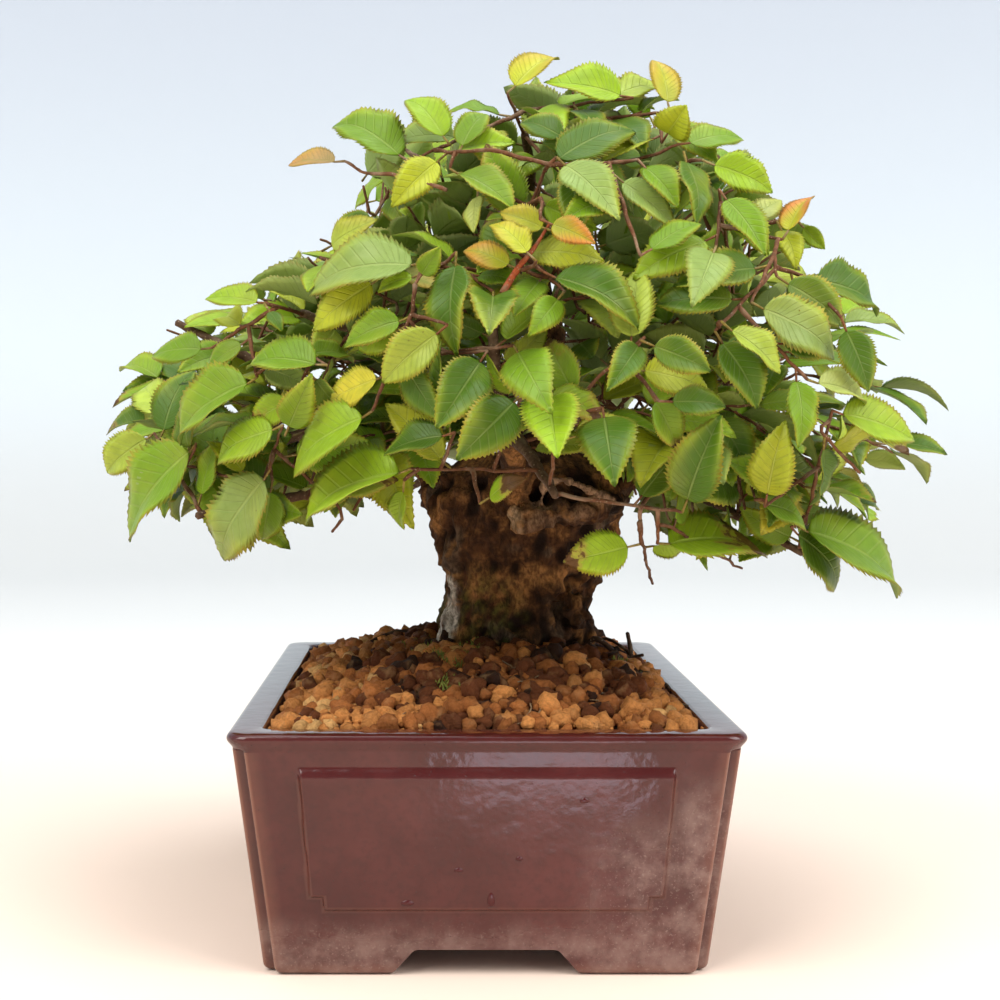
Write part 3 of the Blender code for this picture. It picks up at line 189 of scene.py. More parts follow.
# Leafy branches: how far the trunk's stump reaches along the first stretch, then points in millimetres
BRANCHES = {
    "low_left_front": (11, ((-18, 10, 138), (-32, -20, 133), (-56, -46, 129), (-82, -60, 124))),
    "low_left": (8, ((-40, 14, 150), (-66, 22, 146), (-92, 32, 141), (-112, 38, 133))),
    "low_left_back": (8, ((-40, 14, 150), (-56, 42, 149), (-74, 68, 141), (-86, 84, 131))),
    "low_back_left": (11, ((20, 38, 138), (0, 62, 137), (-18, 82, 131), (-26, 98, 124))),
    "low_back_right": (8, ((16, 60, 150), (34, 76, 147), (50, 90, 139), (60, 98, 130))),
    "low_right_back": (11, ((54, 4, 140), (68, 30, 139), (86, 54, 135), (98, 70, 128))),
    "low_right": (8, ((72, 0, 152), (92, 2, 146), (110, -4, 136), (122, -12, 124))),
    "low_right_front": (11, ((54, 4, 140), (62, -24, 132), (76, -50, 123), (90, -66, 114))),
    "low_front": (8, ((8, -52, 147), (10, -68, 145), (14, -82, 139), (18, -94, 131))),
    "middle_left": (8, ((-40, 14, 150), (-60, 8, 166), (-82, 4, 176), (-98, 6, 184))),
    "middle_left_front": (11, ((20, 4, 150), (-6, -18, 165), (-32, -44, 176), (-52, -60, 182))),
    "middle_front": (8, ((8, -52, 147), (4, -62, 162), (2, -72, 178), (4, -78, 190))),
    "middle_right_front": (11, ((20, 4, 150), (42, -20, 163), (60, -44, 174), (74, -58, 180))),
    "middle_right": (8, ((72, 0, 152), (84, 2, 168), (98, 0, 182), (108, -6, 192))),
    "middle_right_back": (11, ((20, 4, 150), (44, 28, 166), (62, 52, 178), (76, 64, 184))),
    "middle_back": (8, ((16, 60, 150), (12, 70, 168), (8, 78, 184), (6, 80, 194))),
    "middle_left_back": (11, ((20, 4, 150), (-8, 30, 166), (-32, 56, 178), (-48, 70, 184))),
    "top_left": (8, ((18, 0, 206), (0, -4, 223), (-22, -8, 236), (-38, -10, 243))),
    "top_front": (8, ((18, 0, 206), (16, -22, 220), (14, -40, 229), (12, -52, 234))),
    "top_right": (8, ((18, 0, 206), (40, 0, 220), (60, -4, 232), (76, -8, 235))),
    "top_back": (8, ((18, 0, 206), (20, 24, 222), (20, 42, 231), (18, 54, 235))),
}
BRANCH_RADII = (0.0024, 0.0019, 0.0015, 0.0011)

# Cut and bare twigs seen from the front, from the thick end to the tip, across and up in millimetres
BARE_TWIGS = (
    (62, 118, 86, 104), (52, 118, 57, 99), (110, 149, 124, 135), (-42, 122, -47, 116),
    (-77, 133, -108, 141),
)

# Leaves that stand out from the front: across and up at the stalk, across and up at the tip, and how
# wide the leaf looks, in millimetres on the upright plane through the trunk. Some have a colour of their
# own, with how far the scorched end reaches down from the tip or, below zero, how strong the blush is
FRONT_LEAVES = (
    # The crown
    (12, 259, 26, 270, 9, "yellow_green", -0.35), (46, 256, 21, 260, 11),
    (61, 254, 57, 269, 9, "yellow_green", -0.4), (61, 244, 67, 253, 14), (27, 243, 13, 249, 9),
    (26, 236, 51, 247, 13, "dark", 0), (28, 234, 46, 217, 14, "grey_green", 0), (54, 233, 65, 221, 9),
    # Upper left
    (-25, 237, -47, 250, 14), (-11, 243, -23, 257, 11, "bright", 0), (-5, 240, 3, 252, 9),
    (-46, 235, -61, 234, 5, "tan", -0.4), (-13, 235, -28, 221, 12, "yellow_green", 0),
    (-6, 231, 12, 220, 9), (0, 224, -1, 212, 6, "pale", 0),
    # Upper right
    (67, 235, 72, 216, 9), (68, 241, 86, 243, 8), (76, 234, 96, 226, 12, "bright", 0),
    (80, 223, 93, 205, 11), (76, 206, 70, 191, 17), (100, 213, 108, 225, 7, "yellow_green", -0.75),
    (105, 214, 112, 207, 6, "bright", 0), (56, 207, 72, 216, 8),
    # Left
    (-71, 190, -88, 191, 8), (-21, 202, -57, 196, 15, "grey_green", 0), (-21, 198, -33, 194, 6),
    (-18, 199, -12, 208, 8), (-34, 196, -54, 181, 14, "yellow_green", 0), (-25, 184, -44, 176, 11),
    (-67, 187, -63, 181, 5),
    # Far left
    (-89, 175, -106, 173, 10), (-74, 164, -100, 146, 14, "mid", 0), (-66, 149, -87, 139, 13),
    (-52, 170, -76, 171, 12), (-61, 150, -54, 166, 13), (-107, 146, -121, 135, 12, "light", 0),
    (-93, 142, -115, 113, 17), (-69, 133, -86, 106, 19),
    # Low on the left
    (-25, 135, -59, 121, 15, "bright", 0), (-37, 153, -63, 135, 15, "bright", 0),
    (-11, 147, -31, 141, 10), (-24, 129, -25, 116, 6), (-67, 129, -70, 112, 13),
    # Over the trunk
    (-7, 202, -8, 173, 14, "dark", 0), (5, 192, 4, 182, 18), (-13, 180, -32, 164, 15),
    (1, 171, -13, 150, 18, "dark", 0), (13, 174, 22, 158, 19), (12, 158, -6, 140, 19, "dark", 0),
    (23, 159, 26, 140, 20), (41, 153, 44, 134, 21), (24, 161, 42, 152, 10, "bright", 0.2),
    (52, 176, 43, 163, 12), (57, 176, 76, 168, 12), (26, 191, 17, 180, 11),
    # The young shoot in front
    (21, 214, 7, 219, 9, "yellow_green", -0.3), (24, 215, 38, 209, 9, "yellow_green", -0.6),
    (17, 206, 41, 204, 11, "yellow_green", -0.1), (10, 202, -5, 208, 9, "yellow_green", -0.5),
    (16, 206, 4, 217, 9, "yellow_green", -0.3), (25, 198, 54, 184, 12),
    # Right
    (100, 196, 119, 183, 13), (92, 188, 118, 173, 16, "grey_green", 0), (109, 197, 132, 188, 12),
    (119, 181, 127, 161, 12), (79, 177, 92, 156, 13, "dark", 0), (82, 181, 98, 167, 8),
    (110, 164, 127, 158, 8, "pale", 0), (118, 154, 141, 145, 13),
    # Low on the right
    (68, 126, 79, 154, 18, "dark", 0), (94, 128, 99, 151, 15, "yellow_green", 0), (107, 116, 140, 97, 15),
    (104, 115, 120, 97, 12), (93, 125, 109, 118, 8), (62, 112, 96, 111, 15, "bright", 0.3),
    (49, 111, 28, 106, 16, "bright", 0.12), (4, 127, 15, 134, 7, "bright", 0.35), (63, 158, 81, 157, 10),
)

Leaf = namedtuple("Leaf", "node base tip normal width arch fold knots finish", defaults=[(), ("", 0.0)])
Stem = namedtuple("Stem", "node points radii")

# Places along half a leaf's edge, and the share of its smooth width there, which make the teeth
TOOTHED_EDGE = ((0.1, 1.0), (0.36, 1.08), (0.45, 0.9), (0.7, 1.15))


# Finishes

STALK_COLOURS = ((0.2, 0.14, 0.03), (0.26, 0.2, 0.04), (0.2, 0.08, 0.03))
# How many leaves of each colour there are among the leaves that aren't named below
LEAF_SHARES = (
    ("mid", 40), ("dark", 30), ("bright", 13), ("grey_green", 6), ("light", 5), ("yellow_green", 5),
)
YOUNG_SHARES = (("yellow_green", 6), ("light", 4), ("pale", 2), ("yellow", 1))
# The stem of the young shoot in front, across and up in millimetres, and its colour
SHOOT_STEM = ((8, 193), (13, 201), (18, 207), (23, 215))
SHOOT_COLOUR = (0.36, 0.075, 0.022)

# Scorch and blush of the other leaves, each as likely as the rest of its row
LEAF_MARKS = (0.0,) * 30 + (0.05, 0.12, -0.15, -0.25)
YOUNG_MARKS = (0.0, 0.0, 0.0, -0.15, -0.35)

# Twigs that run another way than the part's: the leaf's own place, then the twig's, across and up
TWIG_WAYS = {(-46, 235): ((-38, 232), (-30, 231), (-20, 229), (-10, 226))}

# Leaf veins on each side of the midrib, for leaves that are seen close and for the rest
FINE_VEINS = 11
PLAIN_VEINS = 9
BLADE_HALF_THICKNESS = 0.00009
MIDRIB_DEPTH = 0.00035
QUILT_HEIGHT = 0.00013
# Places between two veins along the edge, and the share of the half width there
TEETH = ((0.3, 0.93), (0.66, 1.03), (0.8, 0.955))
VEIN_VALLEYS = ((0.42, 0.92),)
PLAIN_VALLEYS = ((0.42, 0.94),)
TOOTH_REACH = 1.09
SMALL_TOOTH = 1.045
# How far a tooth points forward, as a share of the distance between two, and the least share of the
# leaf's width that sets how deep its teeth are
TOOTH_LEAN = 0.3
TOOTH_DEPTH = 0.55
# How thin twigs look, as a share of the part's, and how far they wander from a straight line, in metres
TWIG_SLENDER = 0.62
TWIG_WANDER = 0.0006
# Wood: how far a limb's heel is sunk into its stump, the longest stretch of a stem and of a stalk, in
# metres, how many sides they have, and how uneven their girth is
LIMB_HEEL = 0.003
WOOD_STEP = 0.0022
STALK_STEP = 0.0015
LIMB_SIDES = 9
TWIG_SIDES = 6
WOOD_KNOBS = 0.13
SHOOT_RADII = (0.0009, 0.0008, 0.0006, 0.0003)
STALK_RADII = (0.00022, 0.0003, 0.0004)
# Between what limits a leaf's edge waves (how high, how often, from where), and its tip curls, its halves
# fold up and its blade twists
WAVE_LIMITS = ((0.03, 0.15), (0.8, 2.4), (0, 6.28))
BEND_LIMITS = ((-0.1, 0.55), (-0.08, 0.34), (-0.5, 0.5))
LEAF_TRIES = 7
# Leaves nearer than this depth, in metres, get all their veins. Outside this level of the dome, this
# share of the leaves is young
FINE_DEPTH = 0.02
YOUNG_LEVEL = 0.93
YOUNG_RATE = 0.16

# The trunk's bark, in metres: how fine its mesh is, and where it is thick, below this height and this
# near to the trunk's middle
BARK_VOXEL = 0.0008
THICK_TOP = 0.135
THICK_MIDDLE = 0.016
THICK_REACH = 0.034

# The glaze, in metres: how deep the wall's outside reaches, how far its edges are rounded and how wide the
# glaze is thin along them. What cuts the pot from below begins under its feet
WALL_BAND = 0.004
EDGE_SHIFT = 0.0003
EDGE_WIDTH = 0.0009
CUT_FOOT = -0.001
# How wide the panel's soft edge is and how tall the roll along its top, in metres
PANEL_EDGE = 0.0011
PANEL_ROLL = 0.0032

# Leaves that only the scene has: along the part's own twigs, this far apart in metres, and in sprays
# inside and between the part's own
TWIG_LEAF_STEP = 0.0068
FILL_LIFTS = (-0.8, 0.98)
FILL_LAYERS = (0.4, 0.94)
# How low these hang in the reference view, so that the trunk shows: across and up on the upright
# plane through the trunk, in millimetres
LOW_LINE = (
    (-135, 128), (-114, 110), (-87, 105), (-62, 111), (-52, 121), (-26, 122), (-16, 134), (-8, 141),
    (12, 144), (32, 141), (46, 137), (52, 125), (58, 108), (72, 102), (92, 106), (105, 114), (125, 104),
    (139, 97),
)


def mm(x, y, z):
    return Vector((x, y, z)) * 0.001


def kept(value, most=1.0):
    """The value, kept from 0 to the most."""
    return min(max(value, 0.0), most)


def eased(value):
    value = kept(value)
    return value * value * (3 - 2 * value)


def squared(way, along):
    """The first direction, turned square to the second."""
    return (way - along * way.dot(along)).normalized()


def ring_faces(count, sides):
    """The four-sided faces between this many rings of corners, one after the other."""
    faces = []
    for start in range(0, (count - 1) * sides, sides):
        for k in range(sides):
            here, there = start + k, start + (k + 1) % sides
            faces.append((here, there, there + sides, here + sides))
    return faces


def path_frames(points):
    """Each place of a path, with two directions square to the path and to each other."""
    side = None
    for index, place in enumerate(points):
        along = (points[min(index + 1, len(points) - 1)] - points[max(index - 1, 0)]).normalized()
        side = along.orthogonal() if side is None else side - along * side.dot(along)
        side.normalize()
        yield place, side, along.cross(side)


# The plan of the crown, the same as the part's


def trunk_ring(height, left, right, half_depth):
    """One ring of the trunk with its lengthwise ridges. The measures are in millimetres."""
    points = []
    for step in range(TRUNK_SIDES):
        turn = 2 * math.pi * step / TRUNK_SIDES
        ridge = 1.0 + 0.045 * math.sin(3 * turn + height / 11)
        ridge += 0.04 * math.sin(5 * turn - height / 17 + 1.0)
        ridge += 0.03 * math.sin(8 * turn + height / 23)
        x = (left + right) / 2 + (right - left) / 2 * ridge * math.cos(turn)
        y = half_depth * ridge * math.sin(turn)
        points.append(mm(x, y, height))
    return points


def scaffold_stem(points):
    return Stem("trunk", [mm(*point) for point in points], SCAFFOLD_RADII[: len(points)])


def stump(collar, points):
    """The trunk's stump that a leafy branch carries on from, cut square."""
    start = mm(*points[0])
    along = (mm(*points[1]) - start).normalized()
    end = start + along * collar * 0.001
    return Stem("trunk", [start, end], (BRANCH_RADII[0] * 1.3, BRANCH_RADII[0]))


def limb(node, collar, points):
    """The woody part of a leafy branch. It begins a small gap beyond its stump."""
    places = [mm(*point) for point in points]
    along = (places[1] - places[0]).normalized()
    places[0] += along * (collar * 0.001 + REST_GAP)
    return Stem(node, places, BRANCH_RADII)


def half_width(leaf, along):
    """Half the smooth width of the blade, widest two fifths of the way to the tip."""
    widest = 0.393
    most = widest**0.55 * (1 - widest) ** 0.85
    return 0.5 * leaf.width * along**0.55 * (1 - along) ** 0.85 / most


def blade_place(leaf, along, across, lift):
    """A place on a leaf: along runs from 0 at the stalk to 1 at the tip, the others are in metres."""
    axis = leaf.tip - leaf.base
    side = leaf.normal.cross(axis).normalized()
    out = axis.cross(side).normalized()
    bow = max(along, 0.0)
    rise = 4 * leaf.arch * bow * (1 - bow) * axis.length + leaf.fold * abs(across) + lift
    return leaf.base + axis * along + side * across + out * rise


def leaf_solid(leaf, grow=0.0):
    """Points and triangles of one toothed blade, thick at its rib, with a three-sided stalk that runs
    on through the leaf's knots to the wood it grows from."""
    half = STALK_HALF + grow
    rib = RIB_THICKNESS / 2 + grow
    left = [(along, half_width(leaf, along) * share + grow) for along, share in TOOTHED_EDGE]
    edge = [(0.0, half)] + left + [(1.0, 0.0)] + [(a, -w) for a, w in reversed(left)] + [(0.0, -half)]
    points = [blade_place(leaf, along, across, 0.0) for along, across in edge]
    count = len(points)
    points += [
        blade_place(leaf, RIB_PLACE, 0.0, rib),
        blade_place(leaf, RIB_PLACE, 0.0, -rib),
        blade_place(leaf, 0.0, 0.0, -1.6 * half),
    ]
    top, under, heel = range(count, count + 3)
    first, last = 0, count - 1
    faces = [(top, i + 1, i) for i in range(count - 1)] + [(top, first, last)]
    faces += [(under, i, i + 1) for i in range(count - 1)] + [(under, last, heel), (under, heel, first)]
    ring = (first, heel, last)
    side = points[first] - points[last]
    knots = [leaf.base, stalk_root(leaf), *leaf.knots]
    for index, knot in enumerate(knots[1:], 1):
        along = (knots[index - 1] - knot).normalized()
        if index + 1 < len(knots):
            along = (along + (knot - knots[index + 1]).normalized()).normalized()
        side = squared(side, along)
        out = along.cross(side)
        start = len(points)
        back = knot + out * half * 0.5
        points += [back + side * half, knot - out * half, back - side * half]
        half += STALK_GROWTH
        faces += prism_sides(ring, (start, start + 1, start + 2))
        ring = (start, start + 1, start + 2)
    return points, faces + [ring]


def prism_sides(ring, next_ring):
    """Two triangles between each pair of corners of two three-sided rings."""
    faces = []
    for k in range(3):
        after = (k + 1) % 3
        faces.append((ring[k], ring[after], next_ring[after]))
        faces.append((ring[k], next_ring[after], next_ring[k]))
    return faces


def stalk_root(leaf):
    axis = leaf.tip - leaf.base
    return leaf.base - axis.normalized() * STALK_LENGTH


def extent(points):
    """The lowest and the highest corner of the box round these points."""
    columns = list(zip(*points))
    return [min(column) for column in columns], [max(column) for column in columns]


class Space:
    """What is already taken up, so that the pieces of different branches keep clear of each other."""

    def __init__(self):
        self.pieces = []

    def add(self, piece, points, faces):
        self.pieces.append((piece, BVHTree.FromPolygons(points, faces), *extent(points)))

    def is_free(self, points, faces, passes):
        """Whether this shape crosses nothing except pieces that it passes."""
        low, high = extent(points)
        tree = None
        for piece, other, other_low, other_high in self.pieces:
            if any(low[a] > other_high[a] or other_low[a] > high[a] for a in range(3)):
                continue
            if passes(piece):
                continue
            tree = tree or BVHTree.FromPolygons(points, faces)
            if tree.overlap(other):
                return False
        return True


def stem_shell(stem, grow=0.0):
    """A plain square tube round a stem, for finding what it would cross."""
    points = []
    for (place, side, other), radius in zip(path_frames(stem.points), stem.radii):
        points += [place + way * (radius + grow) for way in (side, other, -side, -other)]
    last = len(points) - 4
    ends = [(3, 2, 1, 0), (last, last + 1, last + 2, last + 3)]
    return points, ring_faces(len(stem.points), 4) + ends


def dome_place(turn, lift, layer):
    """A place in the dome by its turn round the trunk, the sine of its lift and its layer, 1 outside."""
    level = math.sqrt(max(0.0, 1.0 - lift * lift))
    x = DOME_ACROSS * level * math.cos(turn) * layer
    y = DOME_DEEP * level * math.sin(turn) * layer - DOME_LEAN * x
    z = (DOME_UP if lift > 0 else DOME_DOWN) * lift * layer
    return DOME_MIDDLE + Vector((x, y, z))


def dome_offset(place):
    """How far a place is from the dome's middle, less the lean, and how tall the dome is on that side."""
    x, y, z = place - DOME_MIDDLE
    return x, y + DOME_LEAN * x, z, DOME_UP if z > 0 else DOME_DOWN


def dome_outward(place):
    """The direction that faces out of the dome at a place."""
    x, y, z, tall = dome_offset(place)
    return Vector((x / DOME_ACROSS**2, y / DOME_DEEP**2, z / tall**2)).normalized()


def sight_place(across, up, depth):
    """The place at this depth on the line of sight through a place on the plane of the trunk, which is
    given in millimetres."""
    share = (depth - VIEWPOINT.y) / -VIEWPOINT.y
    return VIEWPOINT + (mm(across, 0, up) - VIEWPOINT) * share


def dome_level(place):
    """0 in the middle of the dome, 1 on its surface and more outside it."""
    x, y, z, tall = dome_offset(place)
    return math.sqrt((x / DOME_ACROSS) ** 2 + (y / DOME_DEEP) ** 2 + (z / tall) ** 2)


def front_place(across, up):
    """Where a line of sight meets the front of the dome."""
    depth = -0.5 * DOME_DEEP
    for _ in range(8):
        x, _, z, tall = dome_offset(sight_place(across, up, depth))
        spread = (x / DOME_ACROSS) ** 2 + (z / tall) ** 2
        depth = -DOME_DEEP * math.sqrt(max(0.0, 1.0 - spread)) - DOME_LEAN * x
    return sight_place(across, up, depth)


def nearest_limb(limbs, place):
    def distance(stem):
        return min((stem_foot(a, b, place) - place).length for a, b in zip(stem.points, stem.points[1:]))

    return min(limbs, key=distance).node


def stem_foot(start, end, place):
    """The nearest place to this one on a stretch of stem, a little clear of its ends."""
    _, share = intersect_point_line(place, start, end)
    return start.lerp(end, min(max(share, 0.06), 0.94))


def front_leaf(row, limbs, nearer):
    """One of the leaves seen from the front, moved nearer to the eye by some metres."""
    x0, z0, x1, z1, seen_width = row[:5]
    depth = front_place(x0, z0).y - nearer
    base = sight_place(x0, z0, depth)
    seen_length = (sight_place(x1, z1, depth) - base).length
    slope = (front_place(x1, z1).y - nearer - depth) / seen_length
    slope = min(max(slope, -FRONT_SLOPE), FRONT_SLOPE)
    tip = sight_place(x1, z1, depth + slope * seen_length)
    seen_length = (tip - base).length
    toward = (VIEWPOINT - base).normalized()
    wide = seen_width * 0.001 * (depth - VIEWPOINT.y) / -VIEWPOINT.y
    length = max(seen_length, wide / (LEAF_SHAPE + 0.04))
    tip = tip + toward * math.sqrt(length * length - seen_length * seen_length)
    axis = (tip - base).normalized()
    facing = squared(toward, axis)
    side = axis.cross(facing)
    side = side if side.z > 0 else -side
    turn = min(1.0, wide / (LEAF_SHAPE * length))
    normal = facing * turn + side * math.sqrt(1 - turn * turn)
    finish = row[5:] or ("front", 0.0)
    width = LEAF_SHAPE * length
    return Leaf(nearest_limb(limbs, base), base, tip, normal, width, LEAF_ARCH, LEAF_FOLD, finish=finish)


def place_front_leaves(space, limbs):
    """The leaves seen from the front, each at the first depth where it crosses nothing."""
    leaves = []
    for row in FRONT_LEAVES:
        for nearer in FRONT_SHIFTS:
            leaf = front_leaf(row, limbs, nearer)
            if space.is_free(*leaf_solid(leaf, CLEARANCE), lambda piece: False):
                leaves.append(leaf)
                space.add(leaf, *leaf_solid(leaf))
                break
    return leaves


def twig_stem(node, foot, ends, sideways, bend):
    """A tapering twig, straight or bowed to the side on its way to the first end."""
    points = [foot] + list(ends)
    reach = ends[0] - foot
    if bend:
        points.insert(1, foot.lerp(ends[0], 0.5) + sideways * bend * reach.length)
    steps = len(points) - 1
    narrowing = (TWIG_TIP_RADIUS - TWIG_ROOT_RADIUS) / steps
    return Stem(node, points, [TWIG_ROOT_RADIUS + narrowing * index for index in range(steps + 1)])


def grow_stem(space, skeleton, node, ends, rng, carried=None):
    """A twig from the branch's nearest wood through the given ends, bent clear of other branches and,
    where it can be, of the branch's own leaves. It may touch the leaf that it carries."""
    target = ends[0]
    feet = [stem_foot(start, end, target) for start, end in skeleton]
    feet.sort(key=lambda foot: (foot - target).length)
    for own_leaves_pass in (False, True):
        for foot in feet[:TWIG_FEET]:
            reach = target - foot
            sideways = reach.orthogonal().normalized()
            sideways.rotate(Matrix.Rotation(rng.uniform(0, 2 * math.pi), 3, reach))
            for bend in TWIG_BENDS:
                stem = twig_stem(node, foot, ends, sideways, bend)

                def passes(piece):
                    is_own_wood = piece.node == node and isinstance(piece, Stem)
                    return is_own_wood or piece is carried or (own_leaves_pass and piece.node == node)

                if space.is_free(*stem_shell(stem, CLEARANCE), passes):
                    space.add(stem, *stem_shell(stem))
                    skeleton.extend(zip(stem.points, stem.points[1:]))
                    return stem
    return None


def spray_stem(end, outward, rng, rises=(-0.25, 0.2), swing=0.6, loose=False):
    """The two ends of a spray's stem, and the way its leaves face."""
    around = Vector((-outward.y, outward.x, 0.0))
    rise = Vector((0, 0, rng.uniform(*rises)))
    along = (outward + around * rng.uniform(-swing, swing) + rise).normalized()
    if loose:
        facing = Vector((rng.uniform(-0.2, 0.2), rng.uniform(-0.2, 0.2), 0.8))
        facing += outward * rng.uniform(0.3, 1.2)
    else:
        facing = Vector((0, 0, 0.8)) + outward * 0.55
    return end - along * SPRAY_STEM * rng.uniform(0.85, 1.1), end, squared(facing, along)


def spiral(count, lifts, wobble, rng):
    """Turns and lifts spread evenly over the dome, with the place there and the way out of the dome."""
    for index in range(count):
        lift = lifts[0] + (lifts[1] - lifts[0]) * (index + 0.5) / count
        turn = index * GOLDEN_TURN + rng.uniform(-wobble, wobble)
        place = dome_place(turn, lift, 1.0)
        yield turn, lift, place, dome_outward(place)


def dome_sprays(rng):
    """Sprays spread evenly over the dome, apart from those that face the front squarely."""
    for turn, lift, place, outward in spiral(SPRAY_COUNT, SPRAY_LIFTS, 0.12, rng):
        frontness = outward.dot((VIEWPOINT - place).normalized())
        layers = INNER_LAYERS if frontness > INNER_FROM else SPRAY_LAYERS
        spray = spray_stem(dome_place(turn, lift, rng.uniform(*layers)), outward, rng)
        if frontness <= LEFT_OUT_FROM:
            yield spray


def gap_sprays(rng):
    """Sprays at the chosen places."""
    for place in GAP_SPRAYS:
        end = mm(*place)
        yield spray_stem(end, dome_outward(end), rng)


def fill_sprays(rng):
    """More sprays than the part has, at all depths of the crown."""
    count = bpy.context.scene.bonsai_leaves.fill_sprays
    for turn, lift, _, outward in spiral(count, FILL_LIFTS, 0.2, rng):
        end = dome_place(turn, lift, rng.uniform(*FILL_LAYERS))
        spray = spray_stem(end, outward, rng, (-0.3, 0.3), 0.9, True)
        if not hangs_low(end) and not stands_above(end):
            yield spray


def seen_place(place):
    """Where a place is seen on the upright plane through the trunk, across and up in millimetres."""
    seen = VIEWPOINT + (place - VIEWPOINT) * (-VIEWPOINT.y / (place.y - VIEWPOINT.y))
    return seen.x * 1000, seen.z * 1000


def stands_above(place):
    """Whether a place is seen above the crown's upper edge."""
    across, up = seen_place(place)
    return up > np.interp(across, *zip(*HIGH_LINE))


def leaf_way(along, sideways, facing, droop):
    """The way a leaf grows from its stem: forward and to the side, and hanging a little."""
    way = along * math.cos(SPRAY_ANGLE) + sideways * math.sin(SPRAY_ANGLE) - facing * droop
    return way.normalized()


def spray_leaf(node, root, direction, facing, length, rng):
    base = root + direction * STALK_LENGTH
    normal = (facing + direction.cross(facing) * rng.uniform(-0.3, 0.3)).normalized()
    width = length * LEAF_SHAPE * rng.uniform(0.92, 1.05)
    return Leaf(node, base, base + direction * length, normal, width, rng.uniform(0.03, 0.1), LEAF_FOLD)


def try_leaf(space, stem, root, direction, facing, length, rng):
    """A leaf of a spray, turned and shortened until it crosses nothing but its own stem."""
    for attempt in range(LEAF_TRIES):
        swing = Matrix.Rotation(rng.uniform(-0.12, 0.12) * attempt, 3, facing)
        tilt = Matrix.Rotation(rng.uniform(-0.14, 0.14) * attempt, 3, direction.cross(facing))
        turned = tilt @ swing @ direction
        leaf = spray_leaf(stem.node, root, turned, facing, length * (1 - 0.05 * attempt), rng)
        if dome_level(leaf.tip) > DOME_LIMIT:
            continue
        if space.is_free(*leaf_solid(leaf, CLEARANCE), lambda piece: piece is stem):
            space.add(leaf, *leaf_solid(leaf))
            return [leaf]
    return []


def spray_leaves(space, stem, facing, rng):
    """Leaves in two ranks along the last stretch of the stem, and one at its end."""
    start, end = stem.points[-2:]
    along = (end - start).normalized()
    across = facing.cross(along)
    leaves = []
    first_side = rng.choice((-1, 1))
    for order, share in enumerate(SPRAY_PLACES):
        side = first_side if order % 2 == 0 else -first_side
        length = SPRAY_LEAF * rng.uniform(0.88, 1.12)
        root = start.lerp(end, share)
        way = leaf_way(along, across * side, facing, 0.12)
        leaves += try_leaf(space, stem, root, way, facing, length, rng)
    length = SPRAY_LEAF * rng.uniform(0.8, 1.0)
    return leaves + try_leaf(space, stem, end - along * 0.0005, along, facing, length, rng)


def trunk_body():
    """The trunk's own surface, for finding what would cross it."""
    points = [point for station in TRUNK_STATIONS for point in trunk_ring(*station)]
    return points, ring_faces(len(TRUNK_STATIONS), TRUNK_SIDES)


def grow_front_leaves(space, limbs, skeletons, rng):
    """The leaves seen from the front, each joined to its branch, and the twigs of those that turn
    too sharply to run on as a stalk."""
    stems, leaves = [], []
    for leaf in place_front_leaves(space, limbs):
        root = stalk_root(leaf)
        stem = grow_stem(space, skeletons[leaf.node], leaf.node, [root], rng, leaf)
        if not stem:
            continue
        turn = (root - leaf.base).normalized().dot((stem.points[-2] - root).normalized())
        if turn > SHARPEST_TURN:
            leaves.append(leaf._replace(knots=tuple(stem.points[-2::-1])))
        else:
            stems.append(stem)
            leaves.append(leaf)
    return stems, leaves


def rerouted(leaf):
    """The leaf, with its twig led along the chosen way where there is one."""
    for (across, up), way in TWIG_WAYS.items():
        if (leaf.base - front_place(across, up)).length < 0.004:
            return leaf._replace(knots=tuple(front_place(*place) for place in way))
    return leaf


def grow_bare_twigs(space, limbs, skeletons, rng):
    stems = []
    for x0, z0, x1, z1 in BARE_TWIGS:
        ends = [front_place(x0, z0), front_place(x1, z1)]
        node = nearest_limb(limbs, ends[0])
        stem = grow_stem(space, skeletons[node], node, ends, rng)
        stems += [stem] if stem else []
    return stems


def grow_sprays(space, limbs, skeletons, plans, rng):
    """The stems of these sprays, and then their leaves."""
    sprays = []
    for start, end, facing in plans:
        node = nearest_limb(limbs, start)
        stem = grow_stem(space, skeletons[node], node, [start, end], rng)
        if stem:
            sprays.append((stem, facing))
    leaves = []
    for stem, facing in sprays:
        leaves += spray_leaves(space, stem, facing, rng)
    return [stem for stem, _ in sprays], leaves


